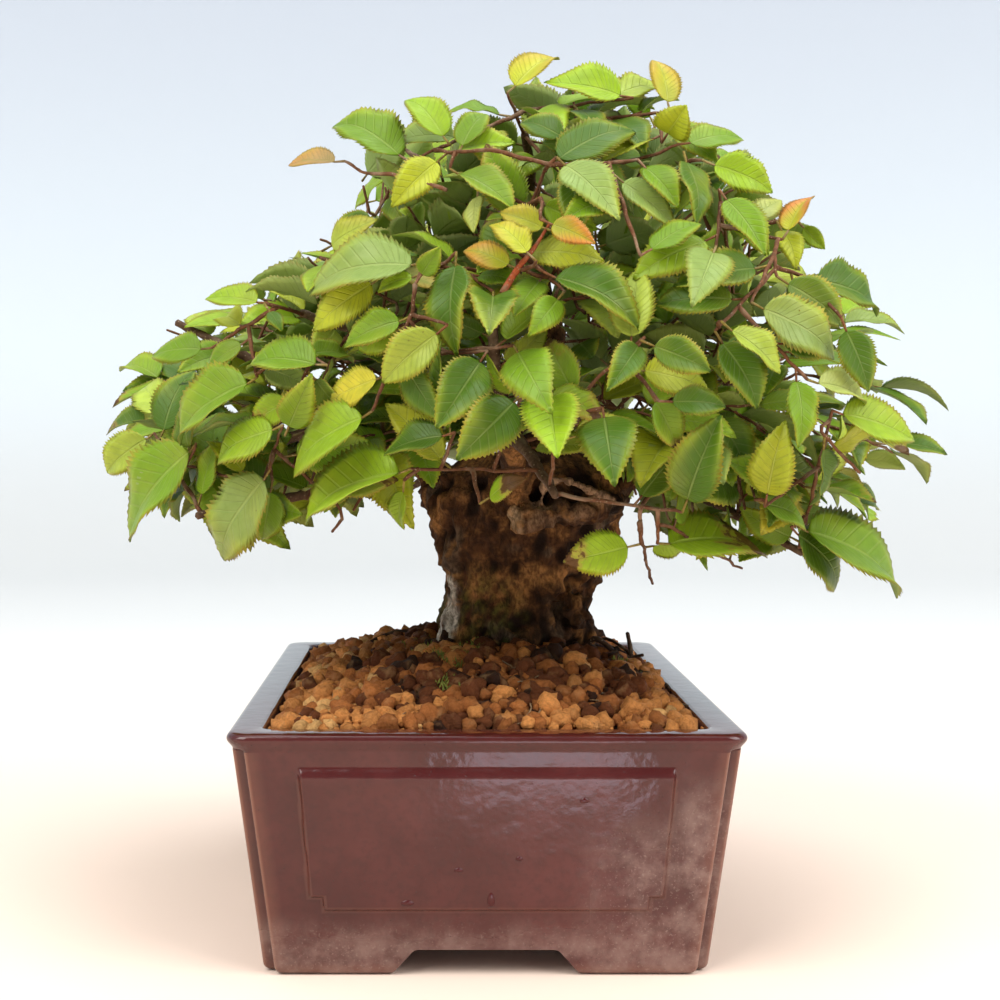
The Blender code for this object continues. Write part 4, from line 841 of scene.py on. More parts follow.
def plan_crown():
    """Every limb, twig and leaf of the leafy branches, found before any of them is made."""
    rng = random.Random(SEED)
    space = Space()
    trunk = [scaffold_stem(points) for points in SCAFFOLDS]
    trunk += [stump(collar, points) for collar, points in BRANCHES.values()]
    limbs = [limb(node, collar, points) for node, (collar, points) in BRANCHES.items()]
    space.add(trunk[0], *trunk_body())
    for stem in trunk + limbs:
        space.add(stem, *stem_shell(stem))
    skeletons = {stem.node: list(zip(stem.points, stem.points[1:])) for stem in limbs}
    front_stems, front_leaves = grow_front_leaves(space, limbs, skeletons, rng)
    bare_stems = grow_bare_twigs(space, limbs, skeletons, rng)
    dome_stems, dome_leaves = grow_sprays(space, limbs, skeletons, dome_sprays(rng), rng)
    gap_stems, gap_leaves = grow_sprays(space, limbs, skeletons, gap_sprays(rng), rng)
    stems = front_stems + bare_stems + dome_stems + gap_stems
    kept_leaves = [leaf for leaf in dome_leaves + gap_leaves if not stands_above(leaf.tip)]
    stems = [shortened(stem) for stem in stems]
    near_leaves = [leaf for leaf in twig_leaves(space, rng) if not hides(leaf, front_leaves)]
    fill_stems, fill_leaves = grow_sprays(space, limbs, skeletons, fill_sprays(rng), rng)
    fill_leaves = [leaf for leaf in fill_leaves if not stands_out(leaf) and not hides(leaf, front_leaves)]
    front_leaves = [rerouted(leaf) for leaf in front_leaves]
    return limbs, stems, front_leaves + kept_leaves + near_leaves, fill_stems, fill_leaves


class Paint:
    """One material, with short ways to add nodes to it. A socket or a plain value feeds each input."""

    def __init__(self, name, **constants):
        self.material = bpy.data.materials.new(name)
        self.material.use_nodes = True
        self.tree = self.material.node_tree
        self.shader = self.tree.nodes["Principled BSDF"]
        for socket, value in constants.items():
            self.shader.inputs[socket.replace("_", " ")].default_value = value
        self.place = self.tree.nodes.new("ShaderNodeTexCoord").outputs["Object"]

    def node(self, kind, inputs, **settings):
        made = self.tree.nodes.new(kind)
        for name, value in settings.items():
            setattr(made, name, value)
        for key, value in inputs.items():
            if isinstance(value, bpy.types.NodeSocket):
                self.tree.links.new(value, made.inputs[key])
            else:
                made.inputs[key].default_value = value
        return made

    def feed(self, socket, value):
        self.tree.links.new(value, self.shader.inputs[socket])

    def stretched(self, x, y, z):
        return self.node("ShaderNodeMapping", {"Vector": self.place, "Scale": (x, y, z)}).outputs[0]

    def noise(self, scale, detail=3.0, roughness=0.55, place=None):
        inputs = {"Vector": place or self.place, "Scale": scale, "Detail": detail, "Roughness": roughness}
        return self.node("ShaderNodeTexNoise", inputs).outputs["Fac"]

    def cells(self, scale, place=None):
        inputs = {"Vector": place or self.place, "Scale": scale}
        return self.node("ShaderNodeTexVoronoi", inputs, feature="F1").outputs["Distance"]

    def attribute(self, name, output="Fac"):
        return self.node("ShaderNodeAttribute", {}, attribute_name=name).outputs[output]

    def span(self, value, low, high, new_low=0.0, new_high=1.0):
        """The value's place between low and high, carried smoothly to the new range."""
        inputs = {"Value": value, 1: low, 2: high, 3: new_low, 4: new_high}
        return self.node("ShaderNodeMapRange", inputs, interpolation_type="SMOOTHSTEP").outputs[0]

    def maths(self, operation, first, second=0.0):
        return self.node("ShaderNodeMath", {0: first, 1: second}, operation=operation).outputs[0]

    def plus(self, first, second):
        return self.maths("ADD", first, second)

    def minus(self, first, second):
        return self.maths("SUBTRACT", first, second)

    def times(self, first, second):
        return self.maths("MULTIPLY", first, second)

    def mix(self, share, first, second):
        inputs = {0: share, 6: as_colour(first), 7: as_colour(second)}
        return self.node("ShaderNodeMix", inputs, data_type="RGBA").outputs[2]

    def laid(self, colour, new, value, low, high, most=1.0):
        """The colour with a new one laid over it, more of it the nearer the value comes to high."""
        return self.mix(self.span(value, low, high, 0.0, most), colour, new)

    def coat(self, colour, rough, height, distance, strength=1.0):
        """The material, with this colour, roughness and fine relief."""
        inputs = {"Height": height, "Distance": distance, "Strength": strength}
        relief = self.node("ShaderNodeBump", inputs).outputs[0]
        for socket, value in (("Base Color", colour), ("Roughness", rough), ("Normal", relief)):
            self.feed(socket, value)
        return self.material


def as_colour(value):
    """A socket as it is, and three numbers with the fourth that a colour needs."""
    return value if isinstance(value, bpy.types.NodeSocket) else (*value, 1.0)


def show(piece, slot, *nodes):
    """Gives a piece to the one body and hides the solids that it stands for. The slot that names its finish
    is not used.
    """
    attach(piece, "root")
    if nodes:
        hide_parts(*nodes)


def linked(name, data):
    """A new object with this data, in the scene."""
    made = bpy.data.objects.new(name, data)
    bpy.context.scene.collection.objects.link(made)
    return made


def add_layer(mesh, name, kind, values, domain="POINT"):
    """Stores one value or colour for each corner or face of a mesh."""
    field = "color" if kind == "FLOAT_COLOR" else "value"
    layer = mesh.attributes.new(name, kind, domain)
    layer.data.foreach_set(field, np.asarray(values, np.float32).ravel())


def finish_mesh(mesh, *materials):
    """Gives a mesh these materials in place of its own, and smooth shading."""
    mesh.materials.clear()
    for material in materials:
        mesh.materials.append(material)
    mesh.shade_smooth()


def apply_modifiers(thing):
    graph = bpy.context.evaluated_depsgraph_get()
    mesh = bpy.data.meshes.new_from_object(thing.evaluated_get(graph))
    thing.modifiers.clear()
    thing.data = mesh


def coat_solid(name, material):
    """Gives a solid of the part this material in place of its own."""
    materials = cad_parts[name].data.materials
    materials.clear()
    materials.append(material)


class Shape:
    """Gathers the corners, faces and finish of one piece before its mesh is made."""

    def __init__(self):
        self.points, self.faces, self.places = [], [], []
        self.tints, self.unders, self.slots = [], [], []
        self.count = 0

    def add(self, points, faces, tint, slot, places=None, unders=None):
        """Points, as rows of x, y and z, their faces, one tint, a material slot, and, for a leaf, the
        places of its corners on the blade and which faces are its underside."""
        self.points.append(points)
        self.faces += [tuple(corner + self.count for corner in face) for face in faces]
        self.places.append(np.zeros((len(points), 2)) if places is None else places)
        self.tints.append(np.tile(tint, (len(points), 1)) if np.ndim(tint) == 1 else tint)
        self.unders += [0.0] * len(faces) if unders is None else unders
        self.slots += [slot] * len(faces)
        self.count += len(points)

    def piece(self, name, *materials):
        mesh = bpy.data.meshes.new(name)
        mesh.from_pydata(np.concatenate(self.points).tolist(), [], self.faces)
        finish_mesh(mesh, *materials)
        mesh.polygons.foreach_set("material_index", self.slots)
        add_layer(mesh, "tint", "FLOAT_COLOR", np.concatenate(self.tints))
        add_layer(mesh, "underside", "FLOAT", self.unders, "FACE")
        corners = np.zeros(len(mesh.loops), np.int32)
        mesh.loops.foreach_get("vertex_index", corners)
        blade = mesh.uv_layers.new(name="blade")
        blade.data.foreach_set("uv", np.concatenate(self.places)[corners].astype(np.float32).ravel())
        return linked(name, mesh)


# Leaves and twigs


def edge_shape(along):
    """Half of a leaf's smooth width at a share of its length, as a share of the most."""
    return along**0.6 * (1 - along) ** 0.97 / 0.3516


def vein_root(along):
    """Where on the midrib the vein starts that meets the edge at this share of the length."""
    return along - 0.27 * edge_shape(along) * min(1.0, along / 0.5)


class Blade:
    """The corners and faces that all leaves with this many veins share."""

    def __init__(self, veins, quilted):
        self.corners, self.faces, self.unders = [], [], []
        self.quilted = quilted
        self.steps = 2 * veins if quilted else veins
        rows = [(step + 1) / (self.steps + 1) for step in range(self.steps)]
        heel = self.corner(0.0, 0.0, 0, 0.0, 0.5, 0.0)
        tip = self.corner(1.0, 0.0, 0, 0.0, 0.5, 1.0)
        ribs = {side: [self.inner(row, 0.0, 1, side) for row in rows] for side in (1, -1)}
        for hand in (1, -1):
            edge, starts = self.edge(rows, hand)
            for side in (1, -1):
                columns = [ribs[side]]
                for share in (0.36, 0.7) if quilted else (0.62,):
                    columns.append([self.inner(row, share, hand, side) for row in rows])
                self.fill(columns, edge, starts, heel, tip, hand * side, side)
        table = np.array(self.corners)
        self.table, self.places = table.T[:4], table[:, 4:]

    def corner(self, *values):
        """Adds a corner: along, across, its layer, how quilted it is, and its place in the leaf's picture."""
        self.corners.append(values)
        return len(self.corners) - 1

    def inner(self, row, share, hand, side):
        root = vein_root(row)
        along = root + (row - root) * share
        between = self.quilted and round(row * (self.steps + 1)) % 2 == 0
        raised = 1.0 if between and share > 0 else 0.0
        layer = side if share > 0 else 2 * side
        across = hand * share
        return self.corner(along, across * edge_shape(row), layer, raised, 0.5 + 0.5 * across, row)

    def edge(self, rows, hand):
        """The toothed edge on one side, and where on it each row of the blade ends."""
        corners, starts = [], []
        spacing = 1 / (self.steps + 1)
        for index, row in enumerate(rows):
            is_vein = not self.quilted or index % 2 == 0
            reach = TOOTH_REACH if is_vein else SMALL_TOOTH
            starts.append(len(corners))
            corners.append(self.tooth(row + TOOTH_LEAN * spacing, reach, hand))
            if index + 1 < len(rows):
                valleys = (VEIN_VALLEYS if is_vein else PLAIN_VALLEYS) if self.quilted else TEETH
                corners += [self.tooth(row + step * spacing, share, hand) for step, share in valleys]
        return corners, starts

    def tooth(self, along, share, hand):
        along = min(along, 0.985)
        across = edge_shape(along) + (share - 1) * max(edge_shape(along), TOOTH_DEPTH)
        return self.corner(along, hand * across, 0, 0.0, 0.5 + 0.5 * hand, along)

    def fill(self, columns, edge, starts, heel, tip, turn, side):
        for column, after in zip(columns, columns[1:]):
            for i in range(len(column) - 1):
                self.face((column[i], after[i], after[i + 1], column[i + 1]), turn, side)
            self.face((heel, after[0], column[0]), turn, side)
            self.face((column[-1], after[-1], tip), turn, side)
        last = columns[-1]
        self.face((heel, edge[0], last[0]), turn, side)
        self.face((last[-1], edge[-1], tip), turn, side)
        for i in range(len(last) - 1):
            run = edge[starts[i] : starts[i + 1] + 1]
            middle = len(run) // 2
            for k in range(middle):
                self.face((last[i], run[k], run[k + 1]), turn, side)
            self.face((last[i], run[middle], last[i + 1]), turn, side)
            for k in range(middle, len(run) - 1):
                self.face((last[i + 1], run[k], run[k + 1]), turn, side)

    def face(self, corners, turn, side):
        self.faces.append(corners[::-1] if turn > 0 else corners)
        self.unders.append(1.0 if side < 0 else 0.0)

    def shaped(self, leaf, curl, cup, twist, wave):
        """The corners of one leaf: its tip curled, its halves folded up, its blade twisted, its edge wavy."""
        along, across, layer, quilt = self.table
        across = across * leaf.width / 2
        folded = np.abs(across)
        axis = leaf.tip - leaf.base
        side = leaf.normal.cross(axis).normalized()
        out = axis.cross(side).normalized()
        rib = np.where(layer > 0, 0.0, -MIDRIB_DEPTH)
        depth = np.where(np.abs(layer) > 1, rib, layer * BLADE_HALF_THICKNESS)
        rise = 4 * leaf.arch * along * (1 - along) * axis.length + leaf.fold * folded + depth
        rise += quilt * QUILT_HEIGHT * np.sin(np.pi * np.clip(along, 0, 1)) ** 0.5
        rise -= curl * np.clip(along - 0.45, 0, 1) ** 2 * axis.length
        rise += cup * folded
        rise += wave[0] * folded * np.sin(2 * np.pi * along * wave[1] + wave[2])
        rise += twist * across * (along - 0.3)
        flat = np.stack([along, across, rise], axis=1)
        return np.array(leaf.base) + flat @ np.array([axis, side, out])


def smooth_path(points, radii):
    """The path with each inner corner rounded, and its radii."""
    path, widths = [points[0]], [radii[0]]
    for index in range(1, len(points) - 1):
        before, here, after = points[index - 1 : index + 2]
        radius = radii[index]
        path += [here.lerp(before, 0.3), here.lerp((before + after) / 2, 0.15), here.lerp(after, 0.3)]
        first, last = [radius * 0.7 + beside * 0.3 for beside in (radii[index - 1], radii[index + 1])]
        widths += [first, radius * 1.04, last]
    return path + [points[-1]], widths + [radii[-1]]


def wandering(points):
    """The path with its inner points moved a little, as a twig grows."""
    moved = [point + noise.noise_vector(point * 240) * TWIG_WANDER for point in points[1:-1]]
    return [points[0], *moved, points[-1]]


def divided(path, widths, step):
    """The path with more points, so that no stretch is longer than the step."""
    points, radii = [path[0]], [widths[0]]
    for a, b, wide, thin in zip(path, path[1:], widths, widths[1:]):
        count = max(1, math.ceil((b - a).length / step))
        for k in range(1, count + 1):
            points.append(a.lerp(b, k / count))
            radii.append(wide + (thin - wide) * k / count)
    return points, radii


def round_stem(points, radii, sides, knobs=0.0, rng=None):
    """Corners and faces of a round stem, with uneven girth where knobs is above zero."""
    rings = []
    for (place, side, other), radius in zip(path_frames(points), radii):
        reach = radius * (1 + (rng.uniform(-knobs, knobs) if rng else 0.0))
        for k in range(sides):
            turn = 2 * math.pi * k / sides
            rings.append(place + (side * math.cos(turn) + other * math.sin(turn)) * reach)
    faces = ring_faces(len(points), sides)
    first = len(rings)
    rings += [points[0], points[-1] + (points[-1] - points[-2]).normalized() * radii[-1] * 0.6]
    end = (len(points) - 1) * sides
    for k in range(sides):
        after = (k + 1) % sides
        faces += [(first, after, k), (first + 1, end + k, end + after)]
    return np.array(rings), faces


def weighted(shares, rng):
    """One of the names, each as likely as its number says."""
    return rng.choice([name for name, count in shares for _ in range(count)])


def leaf_tint(leaf, young, rng):
    """A leaf's colour, with its scorch or blush in the fourth place."""
    name, mark = leaf.finish
    if name == "front":
        name = weighted(LEAF_SHARES, rng)
    elif not name:
        name = weighted(YOUNG_SHARES if young else LEAF_SHARES, rng)
        mark = rng.choice(YOUNG_MARKS if young else LEAF_MARKS)
    shade = rng.uniform(0.88, 1.14)
    colour = getattr(bpy.context.scene.bonsai_leaves, name)
    return (*[value * shade for value in colour], mark)


def wood_tint(radius, rng):
    """Grey-brown on thick wood and red-brown on young twigs."""
    share = kept((radius - 0.0006) / 0.0015)
    look = bpy.context.scene.bonsai_bark
    young, old = Vector(look.young_twig), Vector(look.old_twig)
    return (*(young.lerp(old, share) * rng.uniform(0.85, 1.15)), 0.0)


def add_wood(shape, stem, is_limb, rng):
    points, radii = smooth_path(list(stem.points), list(stem.radii))
    if is_limb:
        back = (points[0] - points[1]).normalized() * LIMB_HEEL
        points, radii = [points[0] + back] + points, [radii[0] * 0.85] + radii
    points, radii = divided(points, radii, WOOD_STEP)
    points = wandering(points)
    if not is_limb:
        radii = [radius * TWIG_SLENDER for radius in radii]
    corners, faces = round_stem(points, radii, LIMB_SIDES if is_limb else TWIG_SIDES, WOOD_KNOBS, rng)
    shape.add(corners, faces, wood_tint(stem.radii[0], rng), 1)


def add_shoot(shape, rng):
    """The red stem of the young shoot, which thins to its tip."""
    path = [front_place(across, up) for across, up in SHOOT_STEM]
    points, radii = divided(*smooth_path(path, SHOOT_RADII), STALK_STEP)
    corners, faces = round_stem(points, radii, 7, 0.1, rng)
    shape.add(corners, faces, (*SHOOT_COLOUR, 0.0), 1)


def add_stalk(shape, leaf, rng):
    """A thin stalk from the blade, and the twig that it runs on through, where it has one of its own."""
    root = stalk_root(leaf)
    heel = leaf.base + (leaf.tip - leaf.base) * 0.02
    points, radii = divided([heel, leaf.base, root], STALK_RADII, STALK_STEP)
    corners, faces = round_stem(points, radii, 5)
    shape.add(corners, faces, (*rng.choice(STALK_COLOURS), 0.0), 1)
    if leaf.knots:
        knots = [root, *leaf.knots]
        widths = [0.00042 + 0.00025 * index / (len(knots) - 1) for index in range(len(knots))]
        points, radii = divided(*smooth_path(knots, widths), WOOD_STEP)
        corners, faces = round_stem(wandering(points), radii, TWIG_SIDES, WOOD_KNOBS, rng)
        shape.add(corners, faces, wood_tint(0.0008, rng), 1)


def add_leaf(shape, leaf, blade, young, rng):
    wave = [rng.uniform(*limits) for limits in WAVE_LIMITS]
    curl, cup, twist = [rng.uniform(*limits) for limits in BEND_LIMITS]
    corners = blade.shaped(leaf, curl, cup, twist, wave)
    tint = leaf_tint(leaf, young, rng)
    shape.add(corners, blade.faces, tint, 0, blade.places, blade.unders)
    add_stalk(shape, leaf, rng)


def hangs_low(place):
    """Whether a place is seen below the line that leaves keep above."""
    across, up = seen_place(place)
    return up < np.interp(across, *zip(*LOW_LINE))


def shortened(stem):
    """The stem, without the part of its last stretch that would be seen above the crown's upper edge."""
    start, end = stem.points[-2:]
    shares = [share for share in (1.0, 0.75, 0.5, 0.25) if not stands_above(start.lerp(end, share))]
    return stem._replace(points=[*stem.points[:-1], start.lerp(end, max(shares, default=0.25))])


def stands_out(leaf):
    """Whether a leaf would be seen outside the outline of the crown."""
    return any(hangs_low(place) or stands_above(place) for place in (leaf.tip, leaf.base))


def hides(leaf, front_leaves):
    """Whether a leaf would be seen in front of one of the leaves that are placed by sight."""
    side = leaf.normal.cross(leaf.tip - leaf.base).normalized() * leaf.width * 0.4
    middle = leaf.base.lerp(leaf.tip, 0.4)
    places = [leaf.tip, leaf.base.lerp(leaf.tip, 0.7), middle + side, middle - side, leaf.base]
    for other in front_leaves:
        heel, tip = Vector(seen_place(other.base)), Vector(seen_place(other.tip))
        axis = tip - heel
        depth = min(other.base.y, other.tip.y)
        for place in places:
            offset = Vector(seen_place(place)) - heel
            along = offset.dot(axis) / axis.length_squared
            across = abs(offset.x * axis.y - offset.y * axis.x) / axis.length
            if 0 < along < 1 and across < 0.3 * axis.length * edge_shape(along) and place.y < depth:
                return True
    return False


def twig_leaves(space, rng):
    """Leaves on alternate sides of the bare stretches of the part's own twigs."""
    leaves = []
    side = 1
    for stem in [piece for piece, *_ in space.pieces if isinstance(piece, Stem)]:
        if stem.radii[0] > BRANCH_RADII[0]:
            continue
        for start, end in zip(stem.points, stem.points[1:]):
            count = int((end - start).length / TWIG_LEAF_STEP)
            along = (end - start).normalized()
            for index in range(count):
                side = -side
                root = start.lerp(end, (index + 0.5) / count)
                facing = Vector((rng.uniform(-0.3, 0.3), -0.3, 0.7)) + dome_outward(root) * 0.7
                facing = squared(facing, along)
                way = leaf_way(along, facing.cross(along) * side, facing, 0.1)
                length = bpy.context.scene.bonsai_leaves.twig_leaf * rng.uniform(0.7, 1.15)
                found = try_leaf(space, stem, root, way, facing, length, rng)
                leaves += [leaf for leaf in found if not stands_out(leaf)]
    return leaves


def leaf_material():
    """Green blades with straight veins, paler underneath, yellow along the edge and brown where scorched."""
    look = bpy.context.scene.bonsai_leaves
    paint = Paint("hornbeam_leaf", IOR=1.45, Specular_IOR_Level=0.34)
    blade = paint.node("ShaderNodeUVMap", {}, uv_map="blade").outputs[0]
    sideways, along, _ = paint.node("ShaderNodeSeparateXYZ", {0: blade}).outputs
    across = paint.maths("ABSOLUTE", paint.minus(paint.times(sideways, 2.0), 1.0))
    tint = paint.node("ShaderNodeAttribute", {}, attribute_name="tint")
    mark = tint.outputs["Alpha"]
    under = paint.attribute("underside")
    mottle = paint.noise(260, 4.0, 0.6)
    blotch = paint.noise(55, 2.0)
    # The veins and the midrib
    phase = paint.maths("PINGPONG", paint.times(along, FINE_VEINS + 0.5), 0.5)
    veins = paint.times(paint.span(phase, 0.13, 0.03), 0.5)
    lines = paint.maths("MAXIMUM", veins, paint.span(across, 0.075, 0.03))
    # Uneven green, more yellow to the edge and the tip
    colour = paint.laid(tint.outputs["Color"], (0.1, 0.19, 0.01), mottle, 0.3, 0.75, 0.3)
    colour = paint.laid(colour, (0.4, 0.43, 0.05), blotch, 0.45, 0.75, 0.35)
    outer = paint.plus(paint.plus(across, paint.times(along, 0.45)), paint.times(blotch, 0.6))
    colour = paint.laid(colour, (0.52, 0.6, 0.05), outer, 1.05, 1.75, 0.6)
    blush = paint.span(paint.plus(along, across), 0.5, 1.6, 0.15, 1.5)
    colour = paint.mix(paint.times(paint.span(mark, 0.0, -1.0), blush), colour, look.blush)
    colour = paint.mix(paint.times(lines, 0.42), colour, paint.mix(0.35, colour, (0.75, 0.85, 0.3)))
    rim = paint.span(paint.plus(across, paint.times(mottle, 0.1)), 0.9, 1.04, 0.0, 0.8)
    rim = paint.times(rim, paint.span(blotch, 0.35, 0.6, 0.3, 1.0))
    colour = paint.mix(rim, colour, (0.58, 0.44, 0.06))
    # The scorched end, straw-coloured where it begins
    burnt = paint.plus(along, paint.times(paint.minus(mottle, 0.5), 0.8))
    burnt = paint.minus(paint.plus(burnt, paint.times(across, 0.1)), paint.minus(1.02, mark))
    is_burnt = paint.span(mark, 0.01, 0.04)
    straw = paint.times(paint.span(burnt, -0.12, 0.02, 0.0, 0.6), is_burnt)
    colour = paint.mix(straw, colour, (0.5, 0.33, 0.07))
    colour = paint.mix(paint.times(paint.span(burnt, 0.0, 0.06), is_burnt), colour, look.scorch)
    spots = paint.span(paint.cells(420), 0.13, 0.08, 0.0, 0.5)
    colour = paint.mix(paint.times(spots, paint.span(blotch, 0.55, 0.66)), colour, (0.13, 0.07, 0.02))
    colour = paint.mix(under, colour, paint.mix(0.5, colour, (0.36, 0.44, 0.2)))
    rough = paint.plus(paint.span(mottle, 0.3, 0.7, 0.31, 0.44), paint.times(under, 0.16))
    relief = paint.minus(paint.times(mottle, 0.35), paint.times(lines, 1.6))
    paint.coat(colour, rough, relief, 0.00026, 0.8)
    light = paint.mix(0.35, colour, (0.6, 0.72, 0.05))
    through = paint.node("ShaderNodeBsdfTranslucent", {"Color": light}).outputs[0]
    both = paint.node("ShaderNodeMixShader", {0: 0.31, 1: paint.shader.outputs[0], 2: through})
    paint.tree.links.new(both.outputs[0], paint.tree.nodes["Material Output"].inputs["Surface"])
    return paint.material


def twig_material():
    """Thin bark with fine cracks lengthwise and small pale pores."""
    paint = Paint("hornbeam_twig", IOR=1.4, Specular_IOR_Level=0.22)
    grain = paint.noise(700, 5.0, 0.65)
    patch = paint.noise(140, 3.0)
    colour = paint.laid(paint.attribute("tint", "Color"), (0.035, 0.02, 0.012), grain, 0.35, 0.7, 0.6)
    colour = paint.laid(colour, (0.3, 0.22, 0.14), patch, 0.5, 0.68, 0.5)
    colour = paint.laid(colour, (0.42, 0.33, 0.22), paint.cells(900), 0.2, 0.12, 0.6)
    rough = paint.span(grain, 0.3, 0.7, 0.55, 0.8)
    return paint.coat(colour, rough, paint.plus(grain, patch), 0.0004, 0.8)


def dress_crown():
    """One piece for each leafy branch, in place of its solid."""
    rng = random.Random(SEED)
    noise.seed_set(SEED)
    limbs, stems, leaves, fill_stems, fill_leaves = plan_crown()
    materials = (leaf_material(), twig_material())
    fine, plain = Blade(FINE_VEINS, True), Blade(PLAIN_VEINS, False)
    shoot_node = nearest_limb(limbs, front_place(*SHOOT_STEM[0]))
    for main in limbs:
        shape = Shape()
        add_wood(shape, main, True, rng)
        if main.node == shoot_node:
            add_shoot(shape, rng)
        for stem in stems + fill_stems:
            if stem.node == main.node:
                add_wood(shape, stem, False, rng)
        for leaf in leaves + fill_leaves:
            if leaf.node == main.node:
                is_fine = leaf.base.y < FINE_DEPTH and leaf in leaves
                young = dome_level(leaf.tip) > YOUNG_LEVEL and rng.random() < YOUNG_RATE
                add_leaf(shape, leaf, fine if is_fine else plain, young, rng)
        piece = shape.piece(main.node + "_foliage", *materials)
        piece.data.transform(Matrix.Translation(SHIFT))
        show(piece, "leaves", main.node)


# Trunk


def bark_furrow(place):
    """From -1 in the furrows of the bark to 1 on its ridges. The place is in metres."""
    bent = noise.noise(place * 60) * 0.0025
    across = Vector(((place.x + bent) * 190, (place.y - bent) * 190, place.z * 95))
    return 1 - 2.6 * abs(noise.noise(across))


def near(place, x, y, z, reach):
    """1 at a spot given in millimetres, falling to 0 at its reach."""
    share = (place - mm(x, y, z)).length / (reach * 0.001)
    return max(0.0, 1 - share * share)


def nearness(place, spots):
    """How near a place is to these spots, added up."""
    return sum(near(place, *spot) for spot in spots)


# The pale bent twig in front of the trunk, in millimetres
PALE_TWIG = ((18, -26, 124), (19, -29, 128), (20, -31, 132), (25, -31, 134), (31, -29, 132), (37, -26, 129))
PALE_TWIG += ((42, -24, 127),)

# Spots on the trunk, each with its reach, in millimetres. The hollow spots and the darker spots low on the
# front get painted shade
HOLLOW_SPOTS = ((22, -24, 118, 14), (30, -20, 100, 10), (2, -24, 122, 10), (17, -22, 134, 12))
DARK_LOW_SPOTS = ((14, -18, 83, 12), (24, -16, 86, 10))
MOSS_SPOTS = ((0, -18, 90, 17), (-12, 6, 88, 16), (26, 18, 88, 16))
DEAD_SPOTS = ((-12, -10, 86, 8), (-11, -11, 92, 7), (-10, -12, 99, 5))
CUT_SPOTS = [(8 + 7 * step, -31, 121 + step, 6.5) for step in range(6)]
CUT_END = (9, -30, 121, 5)
TWIG_SPOTS = [(*spot, 4.5) for spot in PALE_TWIG]
BURL = (31, -19, 92)


def bark_tint(place, furrow, scraps):
    """The bark's colour at a place, from its relief there and the spots near it, with painted shade in the
    furrows and dents, in the hollow, at the darker spots low on the front and on the trunk's right side.
    """
    look = bpy.context.scene.bonsai_bark
    patch = noise.noise(place * 95 + Vector((3.1, 0.4, 8.0)))
    # Painted shade: darker in the furrows and dents, in the hollow, at the darker spots low on the front and
    # on the trunk's right side
    dark = -furrow * 1.5 + 0.1 + 0.6 * nearness(place, HOLLOW_SPOTS) + nearness(place, DARK_LOW_SPOTS)
    dark += 0.5 * eased((place.x - 0.014) / 0.02)
    layers = (
        (look.patches, kept((patch - 0.02) * 3.0, 0.9)),
        ((0.2, 0.15, 0.1), kept((-patch - 0.3) * 3.0, 0.5)),
        (look.hollows, kept(dark, 0.94)),
        ((0.1, 0.115, 0.02), min(0.6, nearness(place, MOSS_SPOTS) * (0.3 + 0.9 * scraps))),
        ((0.03, 0.017, 0.01), min(0.35, near(place, *BURL, 9))),
        (look.dead_wood, 0.95 * min(1.0, 1.8 * nearness(place, DEAD_SPOTS) * (0.8 + scraps))),
        ((0.34, 0.2, 0.11), 0.8 * min(1.0, nearness(place, CUT_SPOTS) * (0.7 + scraps))),
        ((0.5, 0.35, 0.2), 0.85 * min(1.0, 2 * near(place, *CUT_END))),
        ((0.48, 0.31, 0.19), 0.85 * min(1.0, 1.5 * nearness(place, TWIG_SPOTS))),
    )
    colour = Vector(look.bark)
    for layer, share in layers:
        colour = colour.lerp(Vector(layer), share)
    return (*colour, 0.0)


def bark_material():
    """Rough bark with fine fibres, warm patches and dark cracks between its flakes."""
    paint = Paint("hornbeam_bark_rough", IOR=1.45, Specular_IOR_Level=0.16)
    fibres = paint.noise(1.0, 5.0, 0.65, paint.stretched(700, 700, 380))
    flakes = paint.cells(1.0, paint.stretched(330, 330, 210))
    patch = paint.noise(210, 4.0, 0.6)
    tint = paint.node("ShaderNodeAttribute", {}, attribute_name="tint")
    colour = paint.laid(tint.outputs["Color"], (0.014, 0.007, 0.004), fibres, 0.38, 0.62, 0.65)
    warm = paint.times(paint.span(patch, 0.52, 0.7, 0.0, 0.55), paint.span(tint.outputs["Fac"], 0.008, 0.08))
    colour = paint.mix(warm, colour, (0.42, 0.2, 0.068))
    colour = paint.laid(colour, (0.02, 0.011, 0.007), flakes, 0.5, 0.9, 0.5)
    height = paint.minus(paint.plus(fibres, patch), paint.times(flakes, 0.6))
    return paint.coat(colour, paint.span(patch, 0.35, 0.65, 0.72, 0.95), height, 0.0011)


def dress_trunk():
    """The trunk with its limbs, remeshed finely and given furrowed bark."""
    trunk = linked("trunk_bark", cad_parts["trunk"].data.copy())
    remesh = trunk.modifiers.new("Fine", "REMESH")
    remesh.mode = "VOXEL"
    remesh.voxel_size = BARK_VOXEL
    smooth = trunk.modifiers.new("Soft", "SMOOTH")
    smooth.iterations = 5
    apply_modifiers(trunk)
    fine = trunk.data
    normals = [Vector(vertex.normal) for vertex in fine.vertices]
    tints = []
    for vertex, normal in zip(fine.vertices, normals):
        place = vertex.co - SHIFT
        furrow = bark_furrow(place)
        scraps, knots = noise.noise(place * 420), noise.noise(place * 290)
        lumps = noise.noise(place * 150 + Vector((7.0, 2.0, 5.0)))
        swells = noise.noise(place * 70 + Vector((1.0, 9.0, 4.0)))
        is_thick = place.z < THICK_TOP and math.hypot(place.x - THICK_MIDDLE, place.y) < THICK_REACH
        strength = 1.0 if is_thick else 0.3
        rise = 0.0011 * furrow + 0.0008 * scraps + 0.0019 * lumps + 0.0013 * knots + 0.002 * swells
        rise -= near(place, *BURL, 11) * (0.0022 - 0.004 * knots)
        vertex.co += normal * strength * rise
        # The relief also sets the painted shade in the bark's furrows and dents
        tints.append(bark_tint(place, (furrow + 1.2 * lumps + 0.8 * swells) * strength, scraps))
    finish_mesh(fine, bark_material())
    add_layer(fine, "tint", "FLOAT_COLOR", tints)
    show(trunk, "bark", "trunk")


# Soil


